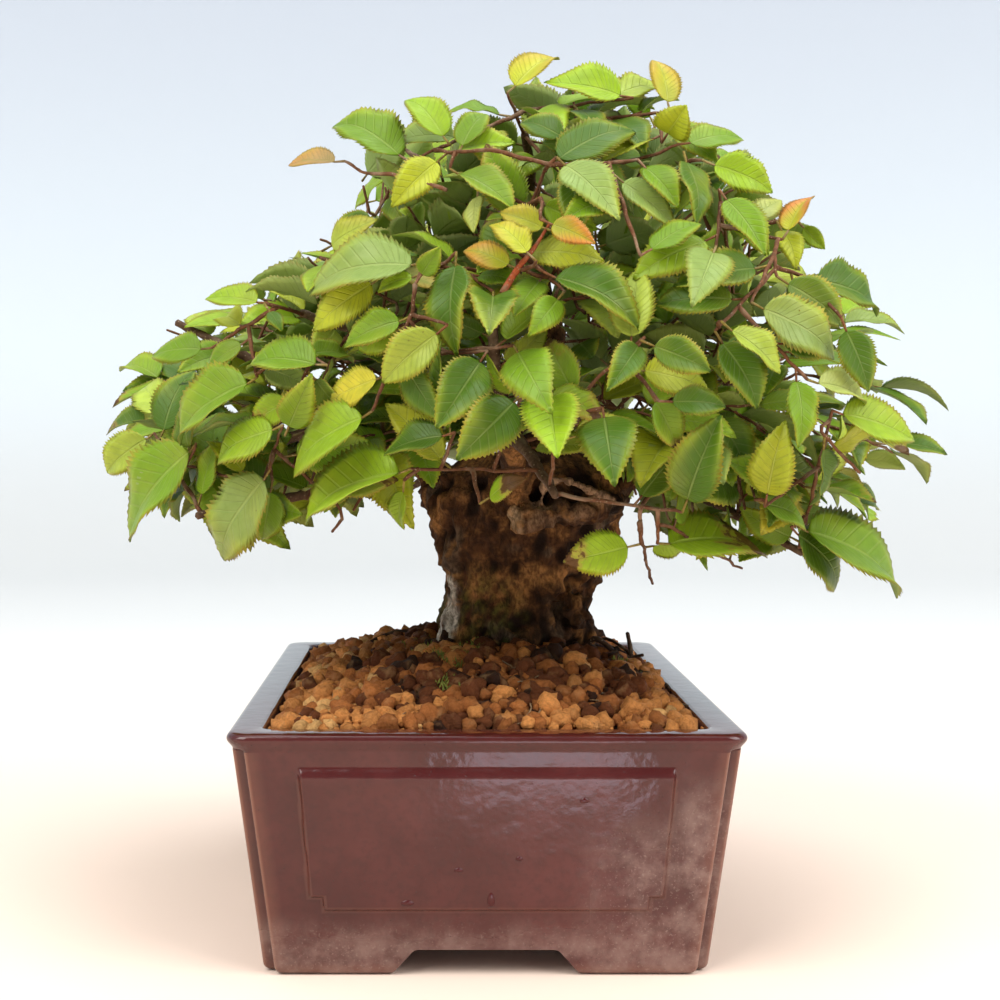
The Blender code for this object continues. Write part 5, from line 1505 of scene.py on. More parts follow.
# Dark to light, each name as likely as it is often in its row
DRY_COLOURS = ("wet", *("red",) * 4, *("ochre",) * 5, "pale")
DAMP_COLOURS = ("dark", *("wet",) * 4, *("red",) * 3, "ochre")
WET_COLOURS = ("dark", "dark", *("wet",) * 5, *("red",) * 3, "ochre")
BLACK_COLOURS = (*("dark",) * 4, "wet", "wet", "red")
GRAIN_SIZES = (0.0012, 0.0015, 0.0018, 0.0021, 0.0024, 0.0028, 0.0033)
CRUMB_SIZES = (0.0004, 0.0009)
GRAIN_JITTER = 0.001
# How far the middles of rows lie apart, as a share of the distance in a row
ROW_SHARE = 0.87


class Ground:
    """Finds the height of the packed soil's surface at a place."""

    def __init__(self):
        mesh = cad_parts["soil"].data
        corners = [vertex.co - SHIFT for vertex in mesh.vertices]
        self.tree = BVHTree.FromPolygons(corners, [tuple(face.vertices) for face in mesh.polygons])

    def height(self, x, y):
        hit = self.tree.ray_cast(Vector((x, y, 0.2)), Vector((0, 0, -1)))[0]
        return hit.z if hit else SOIL_EDGE


def in_trunk(x, y, height, margin):
    """Whether a place lies in the trunk, or within the margin of it."""
    stations = [station for station in TRUNK_STATIONS if station[0] <= height * 1000 + 3]
    _, left, right, half_depth = stations[-1]
    half = (right - left) / 2000 + margin
    middle = (left + right) / 2000
    return ((x - middle) / half) ** 2 + (y / (half_depth * 0.001 + margin)) ** 2 < 1


def grain_points(ball, size, rng):
    """One worn, blocky grain of baked clay."""
    seed = Vector([rng.uniform(0, 50) for _ in range(3)])
    stretch = Vector([rng.uniform(0.74, 1.24) for _ in range(3)])
    angle = rng.uniform(0, 6.28)
    turn = Matrix.Rotation(angle, 3, Vector([rng.uniform(-1, 1) for _ in range(3)]).normalized())
    points = []
    for corner in ball:
        blocky = max(abs(corner.x), abs(corner.y), abs(corner.z))
        lumps = 0.46 * noise.noise(corner * 1.4 + seed) + 0.34 * noise.noise(corner * 3.1 + seed)
        reach = size * (0.84 + 0.14 / blocky) * (1 + lumps)
        points.append(turn @ (corner * stretch * reach))
    return points


def add_grain(shape, ball, place, size, rng):
    corners, faces = ball
    middle = Vector(place) + SHIFT
    points = np.array([point + middle for point in grain_points(corners, size, rng)])
    shape.add(points, faces, soil_tint(*place[:2], rng), 0)


def ball_shape(subdivisions):
    bm = bmesh.new()
    bmesh.ops.create_icosphere(bm, subdivisions=subdivisions, radius=1.0)
    corners = [vertex.co.copy() for vertex in bm.verts]
    faces = [tuple(vertex.index for vertex in face.verts) for face in bm.faces]
    bm.free()
    return corners, faces


def soil_tint(x, y, rng):
    """A grain's colour: dark beside the trunk, damp in front of it and dry farther out."""
    look = bpy.context.scene.bonsai_soil
    from_trunk = math.hypot((x - 0.014) / 0.039, (y - 0.008) / 0.066)
    from_debris = math.hypot((x - 0.037) / 0.015, (y + 0.004) / 0.026)
    in_front = math.hypot((x - 0.006) / 0.034, (y + 0.056) / 0.036)
    ragged = noise.noise(Vector((x, y, 0)) * 60) * 0.8
    wet = from_trunk + ragged < 1.0
    names = WET_COLOURS if wet else DAMP_COLOURS if in_front + ragged < 1.0 else DRY_COLOURS
    names = BLACK_COLOURS if from_debris + ragged < 1.0 else names
    light = rng.gauss(0.5, 0.24) + 0.45 * noise.noise(Vector((x, y, 0.3)) * 95)
    name = names[int(kept(light, 0.999) * len(names))]
    shade = rng.uniform(0.8, 1.2)
    return (*[value * shade for value in getattr(look, name)], 0.55 if wet and rng.random() < 0.5 else 0.85)


def inner_half(height, gap=0.0):
    """Half width and half depth of the inside of the pot, less a gap."""
    share = (height - FLOOR_TOP) / (POT_HEIGHT - FLOOR_TOP)
    inset_at_floor = WALL_AT_FLOOR + wall_inset(FLOOR_TOP)
    inset = inset_at_floor + (RIM_WIDTH - inset_at_floor) * share
    return POT_WIDTH / 2 - inset - gap, POT_DEPTH / 2 - inset - gap


def wall_inset(height):
    """How far the outside of the wall stands in from the lip at this height."""
    return LIP_PROUD + (POT_TAPER - LIP_PROUD) * (1 - height / POT_HEIGHT)


def grain_material():
    """Baked clay, dusty and stained."""
    paint = Paint("akadama_grain", IOR=1.4, Specular_IOR_Level=0.25)
    dust = paint.noise(900, 5.0, 0.7)
    stain = paint.noise(210, 3.0)
    colour = paint.laid(paint.attribute("tint", "Color"), (0.07, 0.023, 0.008), dust, 0.35, 0.7, 0.4)
    colour = paint.laid(colour, (0.52, 0.3, 0.13), stain, 0.52, 0.75, 0.3)
    return paint.coat(colour, paint.span(dust, 0.3, 0.7, 0.55, 0.95), paint.plus(dust, stain), 0.0012)


def gap_shade_material():
    """Near-black colour on the packed soil under the grains: painted shade in the gaps between them."""
    paint = Paint("akadama_dust", Specular_IOR_Level=0.25)
    fine = paint.noise(620, 5.0, 0.7)
    # Near-black to dark brown: painted shade between the grains
    colour = paint.laid((0.03, 0.014, 0.008), (0.13, 0.05, 0.02), fine, 0.35, 0.65)
    return paint.coat(colour, paint.span(fine, 0.3, 0.7, 0.8, 1.0), fine, 0.0012)


def dress_soil():
    """The packed soil, coloured near-black as painted shade, shows between its grains, which lie on it one by
    one.
    """
    rng = random.Random(SEED + 1)
    look = bpy.context.scene.bonsai_soil
    # The packed soil under the grains gets near-black painted shade
    coat_solid("soil", gap_shade_material())
    ground = Ground()
    grains, crumbs = Shape(), Shape()
    ball = ball_shape(2)
    half_x, half_y = inner_half(SOIL_EDGE, FIT_GAP)
    step = look.grain_step
    for row in range(int(2 * half_y / (step * ROW_SHARE)) + 1):
        for column in range(int(2 * half_x / step) + 1):
            size = rng.choice(GRAIN_SIZES)
            shift = 0.5 * (row % 2)
            x = -half_x + (column + shift) * step + rng.uniform(-GRAIN_JITTER, GRAIN_JITTER)
            y = -half_y + row * step * ROW_SHARE + rng.uniform(-GRAIN_JITTER, GRAIN_JITTER)
            if abs(x) > half_x - size or abs(y) > half_y - size:
                continue
            z = ground.height(x, y)
            if not in_trunk(x, y, z, size * 0.4):
                add_grain(grains, ball, (x, y, z + rng.uniform(0.0, 0.7) * size), size, rng)
    ball = ball_shape(1)
    for _ in range(look.crumbs):
        size = rng.uniform(*CRUMB_SIZES)
        x, y = rng.uniform(size - half_x, half_x - size), rng.uniform(size - half_y, half_y - size)
        z = ground.height(x, y)
        if not in_trunk(x, y, z, 0.0):
            add_grain(crumbs, ball, (x, y, z + rng.uniform(0.0, 0.0022)), size, rng)
    material = grain_material()
    show(grains.piece("akadama_grains", material), "akadama")
    show(crumbs.piece("akadama_crumbs", material), "akadama")


# Sticks that lie on the soil or arch over it: points in millimetres across, away and above the soil
STICKS = (
    (0.9, ((49, -44, 1.5), (56, -42, 1.2), (63, -50, 1.0))),
    (0.9, ((32, -7, 5.0), (37, -9, 7.0), (42, -10, 5.0), (46, -9, 0.5))),
    (0.75, ((51, 3, -1.0), (50.5, 2, 5.0), (49, 1, 11.0))),
    (0.5, ((50.5, 2, 4.0), (53, 1, 6.5), (54, 0, 7.5))),
    (0.6, ((57, -4, 0.5), (60, -8, 2.6), (61, -15, 1.2))),
    (0.55, ((38, 12, 0.5), (43, 10, 5.5), (50, 6, 5.0), (55, 2, 0.5))),
    (0.6, ((-40, 22, 1.0), (-34, 26, 3.8), (-26, 28, 4.2), (-18, 26, 1.2))),
    (0.7, ((-30, -58, 1.0), (-22, -52, 1.6), (-12, -50, 0.8))),
    (0.45, ((20, -62, 0.6), (27, -58, 1.4), (36, -60, 0.6))),
    (0.4, ((-48, -30, 0.6), (-44, -22, 1.3), (-46, -12, 0.6))),
)
# Middles of the moss tufts across and away, and how far each reaches, in millimetres
MOSS_TUFTS = ((-8, -34, 7), (-2, -27, 6), (-16, -24, 5), (-9, -58, 5), (-20, -4, 5), (40, 22, 6), (6, 38, 7))
MOSS_TUFTS += ((46, -20, 4),)
MOSS_SHOOTS = 120
MOSS_RADII = (0.00022, 0.00028, 0.00006)
STICK_COLOUR = (0.055, 0.028, 0.016, 0.0)
# Fine pale roots on the soil: how many, how many points each has and how far these lie apart, in metres
ROOT_FIBRES = 70
FIBRE_POINTS = 7
FIBRE_STEP = 0.0016
FIBRE_LIFT = 0.0012
FIBRE_COLOUR = (0.3, 0.19, 0.1, 0.0)


def moss_material():
    paint = Paint("moss", Specular_IOR_Level=0.3, Roughness=0.8)
    colour = paint.mix(paint.noise(800, 3.0), paint.attribute("tint", "Color"), (0.3, 0.32, 0.05))
    paint.feed("Base Color", colour)
    return paint.material


def add_moss(moss, ground, rng):
    for across, away, reach in MOSS_TUFTS:
        for _ in range(MOSS_SHOOTS):
            turn, far = rng.uniform(0, 6.28), reach * 0.001 * math.sqrt(rng.random())
            x, y = across * 0.001 + far * math.cos(turn), away * 0.001 + far * math.sin(turn)
            foot = Vector((x, y, ground.height(x, y) + rng.uniform(0.0, 0.0016)))
            lean = Vector((rng.uniform(-0.5, 0.5), rng.uniform(-0.5, 0.5), 1.0)).normalized()
            length = rng.uniform(0.0012, 0.0026)
            path = [foot, foot + lean * length * 0.6, foot + lean * length]
            corners, faces = round_stem(path, MOSS_RADII, 4)
            shade = rng.uniform(0.6, 1.2)
            moss.add(corners + np.array(SHIFT), faces, (0.09 * shade, 0.12 * shade, 0.022, 1.0), 0)


def add_sticks(litter, ground, rng):
    for radius, places in STICKS:
        points = []
        for across, away, up in places:
            x, y = across * 0.001, away * 0.001
            points.append(Vector((x, y, ground.height(x, y) + up * 0.001)))
        path, radii = divided(*smooth_path(points, [radius * 0.001] * len(points)), 0.0012)
        corners, faces = round_stem(path, radii, 7, 0.12, rng)
        litter.add(corners + np.array(SHIFT), faces, STICK_COLOUR, 0)


def add_fibres(litter, ground, rng):
    half_x, half_y = inner_half(SOIL_EDGE, 0.004)
    for _ in range(ROOT_FIBRES):
        x, y = rng.uniform(-half_x, half_x), rng.uniform(-half_y, half_y)
        if in_trunk(x, y, 0.085, 0.002):
            continue
        turn = rng.uniform(0, 6.28)
        path = []
        for step in range(FIBRE_POINTS):
            lift = FIBRE_LIFT + FIBRE_LIFT * math.sin(math.pi * step / (FIBRE_POINTS - 1))
            path.append(Vector((x, y, ground.height(x, y) + lift)))
            turn += rng.uniform(-0.6, 0.6)
            x, y = x + FIBRE_STEP * math.cos(turn), y + FIBRE_STEP * math.sin(turn)
            x, y = min(max(x, -half_x), half_x), min(max(y, -half_y), half_y)
        corners, faces = round_stem(path, [rng.uniform(0.00012, 0.00024)] * FIBRE_POINTS, 5)
        litter.add(corners + np.array(SHIFT), faces, FIBRE_COLOUR, 0)


def dress_litter():
    """Moss, root fibres and small sticks on the soil."""
    rng = random.Random(SEED + 2)
    ground = Ground()
    moss, litter = Shape(), Shape()
    add_moss(moss, ground, rng)
    add_sticks(litter, ground, rng)
    add_fibres(litter, ground, rng)
    show(moss.piece("moss_tufts", moss_material()), "leaves")
    show(litter.piece("soil_litter", twig_material()), "bark")


# Pot


def glaze_material():
    """Thick brown-red glaze with lime and pits. It is lighter where it thins over the edges, with painted
    highlight along the edges and the panel's outline. A painted dark red reflection and shade line runs along
    the panel's top and under the lip's top edge.
    """
    look = bpy.context.scene.bonsai_pot
    paint = Paint("brown_red_glaze", IOR=1.5)
    low, wet = paint.attribute("low"), paint.attribute("wet")
    cloud = paint.noise(34, 4.0, 0.6)
    fine = paint.noise(420, 3.0, 0.6)
    colour = paint.laid(look.glaze, look.glaze_light, cloud, 0.35, 0.65)
    colour = paint.laid(colour, (0.036, 0.006, 0.005), fine, 0.42, 0.7, 0.4)
    # Painted dark red reflection and shade line along the panel's top and just under the lip's top edge
    colour = paint.mix(paint.times(paint.attribute("red"), 0.55), colour, (0.06, 0.008, 0.009))
    # Lighter tan where the glaze thins over the edges, with painted highlight along the corner edges and the
    # panel's outline
    colour = paint.mix(paint.times(paint.attribute("worn"), 0.75), colour, look.edge_glaze_and_highlight)
    haze = paint.span(paint.noise(75, 5.0, 0.65), 0.38, 0.68, 0.06, 0.62)
    colour = paint.mix(paint.times(low, haze), colour, look.haze)
    specks = paint.span(paint.noise(1500, 2.0, 0.5), 0.6, 0.7, 0.0, 0.3)
    colour = paint.mix(paint.times(low, specks), colour, look.lime)
    pits = paint.span(paint.cells(520), 0.085, 0.05)
    colour = paint.mix(paint.times(pits, 0.7), colour, (0.02, 0.008, 0.008))
    rough = paint.span(cloud, 0.3, 0.7, look.gloss - 0.04, look.gloss + 0.06)
    rough = paint.plus(rough, paint.times(low, 0.22))
    rough = paint.times(rough, paint.span(wet, 0.0, 1.0, 1.0, 0.45))
    peel = paint.plus(paint.times(paint.noise(150, 2.0), 0.8), paint.times(fine, 0.2))
    relief = paint.minus(peel, paint.times(pits, 0.5))
    return paint.coat(colour, rough, relief, 0.0009, paint.span(wet, 0.0, 1.0, 0.4, 0.12))


def new_object(name, bm):
    mesh = bpy.data.meshes.new(name)
    bm.to_mesh(mesh)
    bm.free()
    return linked(name, mesh)


def round_corner(radius, steps=20):
    """How far each point of a round corner stands in from the side before it and the side after it."""
    turns = [math.pi / 2 * step / steps for step in range(steps + 1)]
    return [(radius * (1 - math.cos(turn)), radius * (1 - math.sin(turn))) for turn in turns]


def notched_corner(notch, outer, inner, steps=6):
    """A corner with a square notch, whose two outer edges and inner edge are rounded."""
    turns = [math.pi / 2 * step / steps for step in range(steps + 1)]
    edge = [(outer - outer * math.cos(t), notch + outer - outer * math.sin(t)) for t in turns]
    cove = [(notch - inner + inner * math.sin(t), notch - inner + inner * math.cos(t)) for t in turns]
    return edge + cove + [(v, u) for u, v in reversed(edge)]


def marks(low, high, fine_zones, coarse, fine):
    """Numbers from low to high, close together inside the fine zones."""
    found = [low]
    while found[-1] < high:
        here = found[-1] + 1e-9
        step = fine if any(a <= here < b for a, b in fine_zones) else coarse
        ahead = [a - found[-1] for a, b in fine_zones if a > here]
        found.append(found[-1] + min([step, *ahead]))
    return found[:-1] + [high]


# Places along the front and along the side of the pot, from -1 to 1, close together at the panel's ends
WIDE_MARKS = marks(-1.0, 1.0, ((-0.89, -0.69), (0.69, 0.89)), 0.06, 0.0062)
DEEP_MARKS = marks(-1.0, 1.0, ((-0.925, -0.775), (0.775, 0.925)), 0.045, 0.0045)


def in_panel(across, height, half_width):
    """How far inside the raised panel a place on the wall is, and below the panel's top."""
    up = height - PANEL_FOOT
    tall = PANEL_TOP - PANEL_FOOT
    half = half_width - PANEL_LEAN * (1 - up / tall)
    wide = min(half - abs(across), up - PANEL_STEP)
    narrow = min(half - PANEL_STEP - abs(across), up)
    return max(wide, narrow), tall - up


def panel_relief(across, height, half_width):
    inside, below_top = in_panel(across, height, half_width)
    share = (height - PANEL_FOOT) / (PANEL_TOP - PANEL_FOOT)
    proud = PANEL_PROUD_FOOT + (PANEL_PROUD_TOP - PANEL_PROUD_FOOT) * kept(share)
    top = math.sin(math.pi / 2 * kept(below_top / PANEL_ROLL))
    return proud * eased((inside + 0.0001) / PANEL_EDGE) * top


def wall_ring(height, inset, corner, panels):
    """One ring round the pot, counter-clockwise from above, raised where the panels are."""
    ring = []
    for side in range(4):
        is_wide = side % 2 == 0
        half = (POT_WIDTH if is_wide else POT_DEPTH) / 2 - inset
        beside = (POT_DEPTH if is_wide else POT_WIDTH) / 2 - inset
        panel = PANEL_HALF_FRONT if is_wide else PANEL_HALF_SIDE
        turn = Matrix.Rotation(math.pi / 2 * side, 3, "Z")
        ring += [turn @ Vector((half - u, beside - v, height)) for u, v in corner]
        for mark in (WIDE_MARKS if is_wide else DEEP_MARKS)[1:-1]:
            across = -mark * (half - corner[-1][0])
            proud = panel_relief(across, height, panel) if panels else 0.0
            ring.append(turn @ Vector((across, beside + proud, height)))
    return ring


def pot_wall_rings():
    """The pot's rings from the foot up the outside, over the lip and down to the floor inside."""
    body = notched_corner(CORNER_NOTCH, NOTCH_ROUND, 0.0006)
    lip, inner = round_corner(LIP_CORNER), round_corner(INNER_CORNER)
    rings = []
    quarter = [math.pi / 2 * step / 5 for step in range(6)]
    for turn in quarter:
        height = FOOT_ROUND * (1 - math.cos(turn))
        rings.append(wall_ring(height, wall_inset(height) + FOOT_ROUND * (1 - math.sin(turn)), body, False))
    lip_foot = POT_HEIGHT - LIP_HEIGHT
    zones = ((PANEL_FOOT - 0.0012, PANEL_FOOT + 0.0056), (PANEL_TOP - 0.0045, PANEL_TOP + 0.0006))
    for height in marks(FOOT_ROUND, lip_foot, zones, 0.0016, 0.00038)[1:]:
        rings.append(wall_ring(height, wall_inset(height), body, True))
    for step in range(1, 7):
        share = step / 6
        inset = wall_inset(lip_foot) * (1 - eased(share))
        rings.append(wall_ring(lip_foot + LIP_SLOPE * share, inset, lip, False))
    for turn in quarter:
        height = POT_HEIGHT - LIP_ROUND * (1 - math.sin(turn))
        rings.append(wall_ring(height, LIP_ROUND * (1 - math.cos(turn)), lip, False))
    rings.append(wall_ring(POT_HEIGHT, 0.5 * RIM_WIDTH, lip, False))
    for turn in quarter:
        height = POT_HEIGHT - INNER_ROUND * (1 - math.cos(turn))
        rings.append(wall_ring(height, RIM_WIDTH - INNER_ROUND * (1 - math.sin(turn)), inner, False))
    for height in (0.055, 0.035, FLOOR_TOP):
        rings.append(wall_ring(height, POT_WIDTH / 2 - inner_half(height)[0], inner, False))
    return rings


def cutter_prism(name, shape, half_length, turn):
    """A straight prism through the pot, with this shape across it."""
    bm = bmesh.new()
    near_end = [bm.verts.new((x, -half_length, z)) for x, z in shape]
    far_end = [bm.verts.new((x, half_length, z)) for x, z in shape]
    bm.faces.new(near_end)
    bm.faces.new(far_end[::-1])
    for i in range(len(shape)):
        after = (i + 1) % len(shape)
        bm.faces.new((near_end[i], far_end[i], far_end[after], near_end[after]))
    bmesh.ops.recalc_face_normals(bm, faces=bm.faces)
    bmesh.ops.rotate(bm, verts=bm.verts, matrix=Matrix.Rotation(turn, 3, "Z"))
    return new_object(name, bm)


def foot_shape(half_width):
    """The outline of the space between two feet, with a soft upper corner."""
    top = half_width - FOOT_SLOPE
    right = [(half_width, CUT_FOOT), (half_width, 0.0)]
    right += [(top + 0.0006, FOOT_HEIGHT - 0.0007), (top - 0.0003, FOOT_HEIGHT - 0.0001)]
    right.append((top - 0.0014, FOOT_HEIGHT))
    return right + [(-x, z) for x, z in reversed(right)]


def cut(thing, cutter):
    """Cuts one solid out of another, and removes the cutter."""
    modifier = thing.modifiers.new("Cut", "BOOLEAN")
    modifier.operation = "DIFFERENCE"
    modifier.object = cutter
    apply_modifiers(thing)
    bpy.data.objects.remove(cutter, do_unlink=True)


def glaze_marks(place):
    """How thin the glaze is on an edge, with the painted highlight there and along the panel's outline; the
    painted dark red reflection and shade line at the panel's top and under the lip's top edge; how limy and
    how wet it is.
    """
    inset = wall_inset(place.z)
    u, v = POT_WIDTH / 2 - inset - abs(place.x), POT_DEPTH / 2 - inset - abs(place.y)
    across, panel = (place.x, PANEL_HALF_FRONT) if v < u else (place.y, PANEL_HALF_SIDE)
    is_outside = min(u, v) < WALL_BAND
    on_wall = is_outside and place.z < POT_HEIGHT - LIP_HEIGHT
    # Along the notched corners' edges: thin glaze and painted highlight
    notch = CORNER_NOTCH + EDGE_SHIFT
    edge = min(math.hypot(u - EDGE_SHIFT, v - notch), math.hypot(u - notch, v - EDGE_SHIFT))
    worn = math.exp(-((edge / EDGE_WIDTH) ** 2)) if on_wall else 0.0
    if place.z < 0.004 and is_outside:
        worn = max(worn, 0.5 * eased(1 - abs(place.z - 0.0015) / 0.002))
    inside, below_top = in_panel(across, place.z, panel)
    red = 0.0
    # Painted dark red reflection and shade line just below the panel's top
    if on_wall and inside > -0.0006:
        # Painted highlight along the panel's outline
        red = math.exp(-(((below_top - 0.0018) / 0.0014) ** 2))
        if inside < 0.0012 and below_top > 0.003:
            worn = max(worn, 0.2)
    # Painted dark red reflection line just under the lip's top edge
    if place.z > POT_HEIGHT - LIP_HEIGHT:
        red = 0.6 * math.exp(-(((place.z - POT_HEIGHT + 0.0012) / 0.001) ** 2))
    at_corner = eased((place.x - 0.047) / 0.01)
    below = 0.85 * eased((place.x - 0.02) / 0.02) * eased((0.05 - place.z) / 0.02)
    aside = max(at_corner, below) * (1.0 if place.y < -0.06 else 0.3)
    limy = max(0.8 * eased((0.019 - place.z) / 0.013), aside * eased((0.06 - place.z) / 0.02))
    wet = eased((place.z - POT_HEIGHT + 0.0014) / 0.001)
    return worn, red, limy if is_outside else 0.3, wet


def dress_pot():
    """The fired pot, with softly rounded edges and panels, in its glaze."""
    bm = bmesh.new()
    rows = [[bm.verts.new(point) for point in ring] for ring in pot_wall_rings()]
    for lower, upper in zip(rows, rows[1:]):
        for i in range(len(lower)):
            after = (i + 1) % len(lower)
            bm.faces.new((lower[i], lower[after], upper[after], upper[i]))
    bm.faces.new(rows[0][::-1])
    bm.faces.new(rows[-1])
    pot = new_object("glazed_pot", bm)
    cut(pot, cutter_prism("front_opening", foot_shape(OPENING_FRONT), POT_DEPTH, 0.0))
    cut(pot, cutter_prism("side_opening", foot_shape(OPENING_SIDE), POT_DEPTH, math.pi / 2))
    reach = wall_inset(0) + FOOT_WALL
    wide, deep = POT_WIDTH / 2 - reach, POT_DEPTH / 2 - reach
    under = [(wide, CUT_FOOT), (wide, UNDERSIDE), (-wide, UNDERSIDE), (-wide, CUT_FOOT)]
    cut(pot, cutter_prism("under_hollow", under, deep, 0.0))
    for y in (-DRAIN_OFFSET, DRAIN_OFFSET):
        bm = bmesh.new()
        drain = {"segments": 48, "radius1": DRAIN_RADIUS, "radius2": DRAIN_RADIUS, "depth": 0.03}
        bmesh.ops.create_cone(bm, cap_ends=True, matrix=Matrix.Translation((0, y, FLOOR_TOP)), **drain)
        cut(pot, new_object("drain", bm))
    mesh = pot.data
    values = [glaze_marks(vertex.co) for vertex in mesh.vertices]
    # The red layer carries the painted dark red reflection and shade line
    for name, column in zip(("worn", "red", "low", "wet"), zip(*values)):
        add_layer(mesh, name, "FLOAT", column)
    mesh.transform(Matrix.Translation(SHIFT))
    finish_mesh(mesh, glaze_material())
    mesh.set_sharp_from_angle(angle=math.radians(40))
    show(pot, "pot_glaze", "pot")


# Drops on the front wall: across and up, and how wide and tall each is, in millimetres
DROPS = ((-21.4, 21.2, 1.7, 0.8), (1.2, 22.3, 1.0, 2.1), (-7.6, 30.5, 1.2, 0.7), (25.9, 49.9, 1.2, 0.8))
DROPS += ((8.7, 33.7, 1.0, 0.7),)
DROP_DEPTH = 0.45


def dress_drops():
    """Drops of water that hang on the front wall."""
    paint = Paint("water_drop", Base_Color=(0.055, 0.006, 0.006, 1.0), Roughness=0.04, IOR=1.4)
    ball, faces = ball_shape(3)
    shape = Shape()
    for across, up, wide, tall in DROPS:
        place = Vector((across * 0.001, 0.0, up * 0.001))
        proud = panel_relief(place.x, place.z, PANEL_HALF_FRONT)
        place.y = wall_inset(place.z) - POT_DEPTH / 2 - proud
        points = []
        for corner in ball:
            heavy = 1.0 - 0.35 * corner.z
            points.append(place + SHIFT + mm(corner.x * wide * heavy, corner.y * DROP_DEPTH, corner.z * tall))
        shape.add(np.array(points), faces, (0.0, 0.0, 0.0, 0.0), 0)
    show(shape.piece("water_drops", paint.material), "pot_glaze")


def dress_drains():
    """Black plastic mesh over the drain holes, dull with soil dust."""
    paint = Paint("drain_mesh_plastic", Specular_IOR_Level=0.4)
    dust = paint.noise(650, 4.0)
    colour = paint.laid((0.012, 0.012, 0.013), (0.12, 0.07, 0.04), dust, 0.5, 0.75, 0.6)
    plastic = paint.coat(colour, paint.span(dust, 0.3, 0.7, 0.42, 0.75), dust, 0.0003, 0.6)
    for name in ("drain_mesh_front", "drain_mesh_back"):
        coat_solid(name, plastic)


# Stage


# The backdrop's flat reach, the radius of its bend and its height, in metres
FLOOR_REACH = 1.2
FLOOR_BEND = 0.9
WALL_HEIGHT = 2.6
BEND_STEPS = 16

# The lens of the reference view: its length in millimetres, its shift, and how many degrees it looks down
LENS_LENGTH = 56.9
LENS_SHIFT = 0.069
LENS_DOWN = 2.29

# Where each light stands, the place that it faces, how wide it is and its colour
LIGHTS = {
    "key": ((-0.9, -0.85, 1.35), (0, 0, 0.1), 1.2, (1.0, 0.985, 0.96)),
    "top": ((0.25, 0.15, 2.1), (0, 0, 0.1), 1.5, (0.94, 0.97, 1.0)),
    "fill": ((1.15, -0.7, 1.1), (0, 0, 0.08), 1.2, (1.0, 1.0, 1.0)),
    "glint": ((0.02, -0.19, 0.004), (0.01, -0.09, 0.05), 0.06, (0.8, 0.8, 1.0)),
}


def backdrop():
    """A pale floor that curves up into a pale wall all round."""
    look = bpy.context.scene.bonsai_stage
    profile = [(0.0, 0.0), (0.3, 0.0), (0.8, 0.0), (FLOOR_REACH, 0.0)]
    for step in range(1, BEND_STEPS + 1):
        turn = math.pi / 2 * step / BEND_STEPS
        profile.append((FLOOR_REACH + FLOOR_BEND * math.sin(turn), FLOOR_BEND * (1 - math.cos(turn))))
    profile.append((FLOOR_REACH + FLOOR_BEND, WALL_HEIGHT))
    bm = bmesh.new()
    line = [bm.verts.new((x, 0.0, z)) for x, z in profile]
    edges = [bm.edges.new(pair) for pair in zip(line, line[1:])]
    spun = {"geom": line + edges, "cent": (0, 0, 0), "axis": (0, 0, 1), "angle": 2 * math.pi, "steps": 96}
    bmesh.ops.spin(bm, use_merge=True, use_duplicate=False, **spun)
    bmesh.ops.remove_doubles(bm, verts=bm.verts, dist=0.0001)
    bmesh.ops.recalc_face_normals(bm, faces=bm.faces)
    paper = new_object("backdrop", bm)
    paint = Paint("backdrop_paper", Roughness=0.95, Specular_IOR_Level=0.1)
    _, away, rise = paint.node("ShaderNodeSeparateXYZ", {0: paint.place}).outputs
    colour = paint.laid(look.floor, look.far_floor, away, -0.05, 0.8)
    colour = paint.laid(colour, look.horizon, rise, 0.0, 0.3)
    colour = paint.laid(colour, look.wall, rise, 0.1, 1.0)
    paint.feed("Base Color", paint.laid(colour, look.front, away, -0.6, -1.4))
    finish_mesh(paper.data, paint.material)


def soft_light(name, place, aim, size, colour):
    light = bpy.data.lights.new(name, "AREA")
    light.shape = "SQUARE"
    light.size = size
    light.energy = getattr(bpy.context.scene.bonsai_stage, name + "_power")
    light.color = colour
    thing = linked(name, light)
    thing.location = place
    thing.rotation_euler = (Vector(aim) - Vector(place)).to_track_quat("-Z", "Y").to_euler()


def set_camera():
    """The eye of the reference view: a little above the middle of the crown, looking down slightly."""
    lens = bpy.data.cameras.new("eye")
    lens.sensor_width = 36.0
    lens.lens = LENS_LENGTH
    lens.shift_x = LENS_SHIFT
    lens.clip_start = 0.02
    eye = linked("eye", lens)
    eye.location = VIEWPOINT + SHIFT
    eye.rotation_euler = (math.radians(90 - LENS_DOWN), 0.0, 0.0)
    bpy.context.scene.camera = eye


def set_stage():
    look = bpy.context.scene.bonsai_stage
    backdrop()
    world = bpy.data.worlds.new("pale_sky")
    world.use_nodes = True
    sky = world.node_tree.nodes["Background"]
    sky.inputs["Color"].default_value = as_colour(look.sky)
    sky.inputs["Strength"].default_value = look.sky_strength
    bpy.context.scene.world = world
    bpy.context.scene.view_settings.view_transform = "Standard"
    for name, settings in LIGHTS.items():
        soft_light(name, *settings)
    set_camera()


# What can be changed, and the steps


def tone(name, description, default):
    return FloatVectorProperty(
        name=name,
        description="Colour " + description,
        subtype="COLOR",
        size=3,
        min=0.0,
        max=1.0,
        default=default,
    )


def watts(name, description, default):
    return FloatProperty(name=name, description="Light " + description, default=default, unit="POWER")


def metres(name, description, default):
    return FloatProperty(name=name, description=description, default=default, min=0.002, unit="LENGTH")


def whole(name, description, default):
    return IntProperty(name=name, description=description, default=default, min=1)


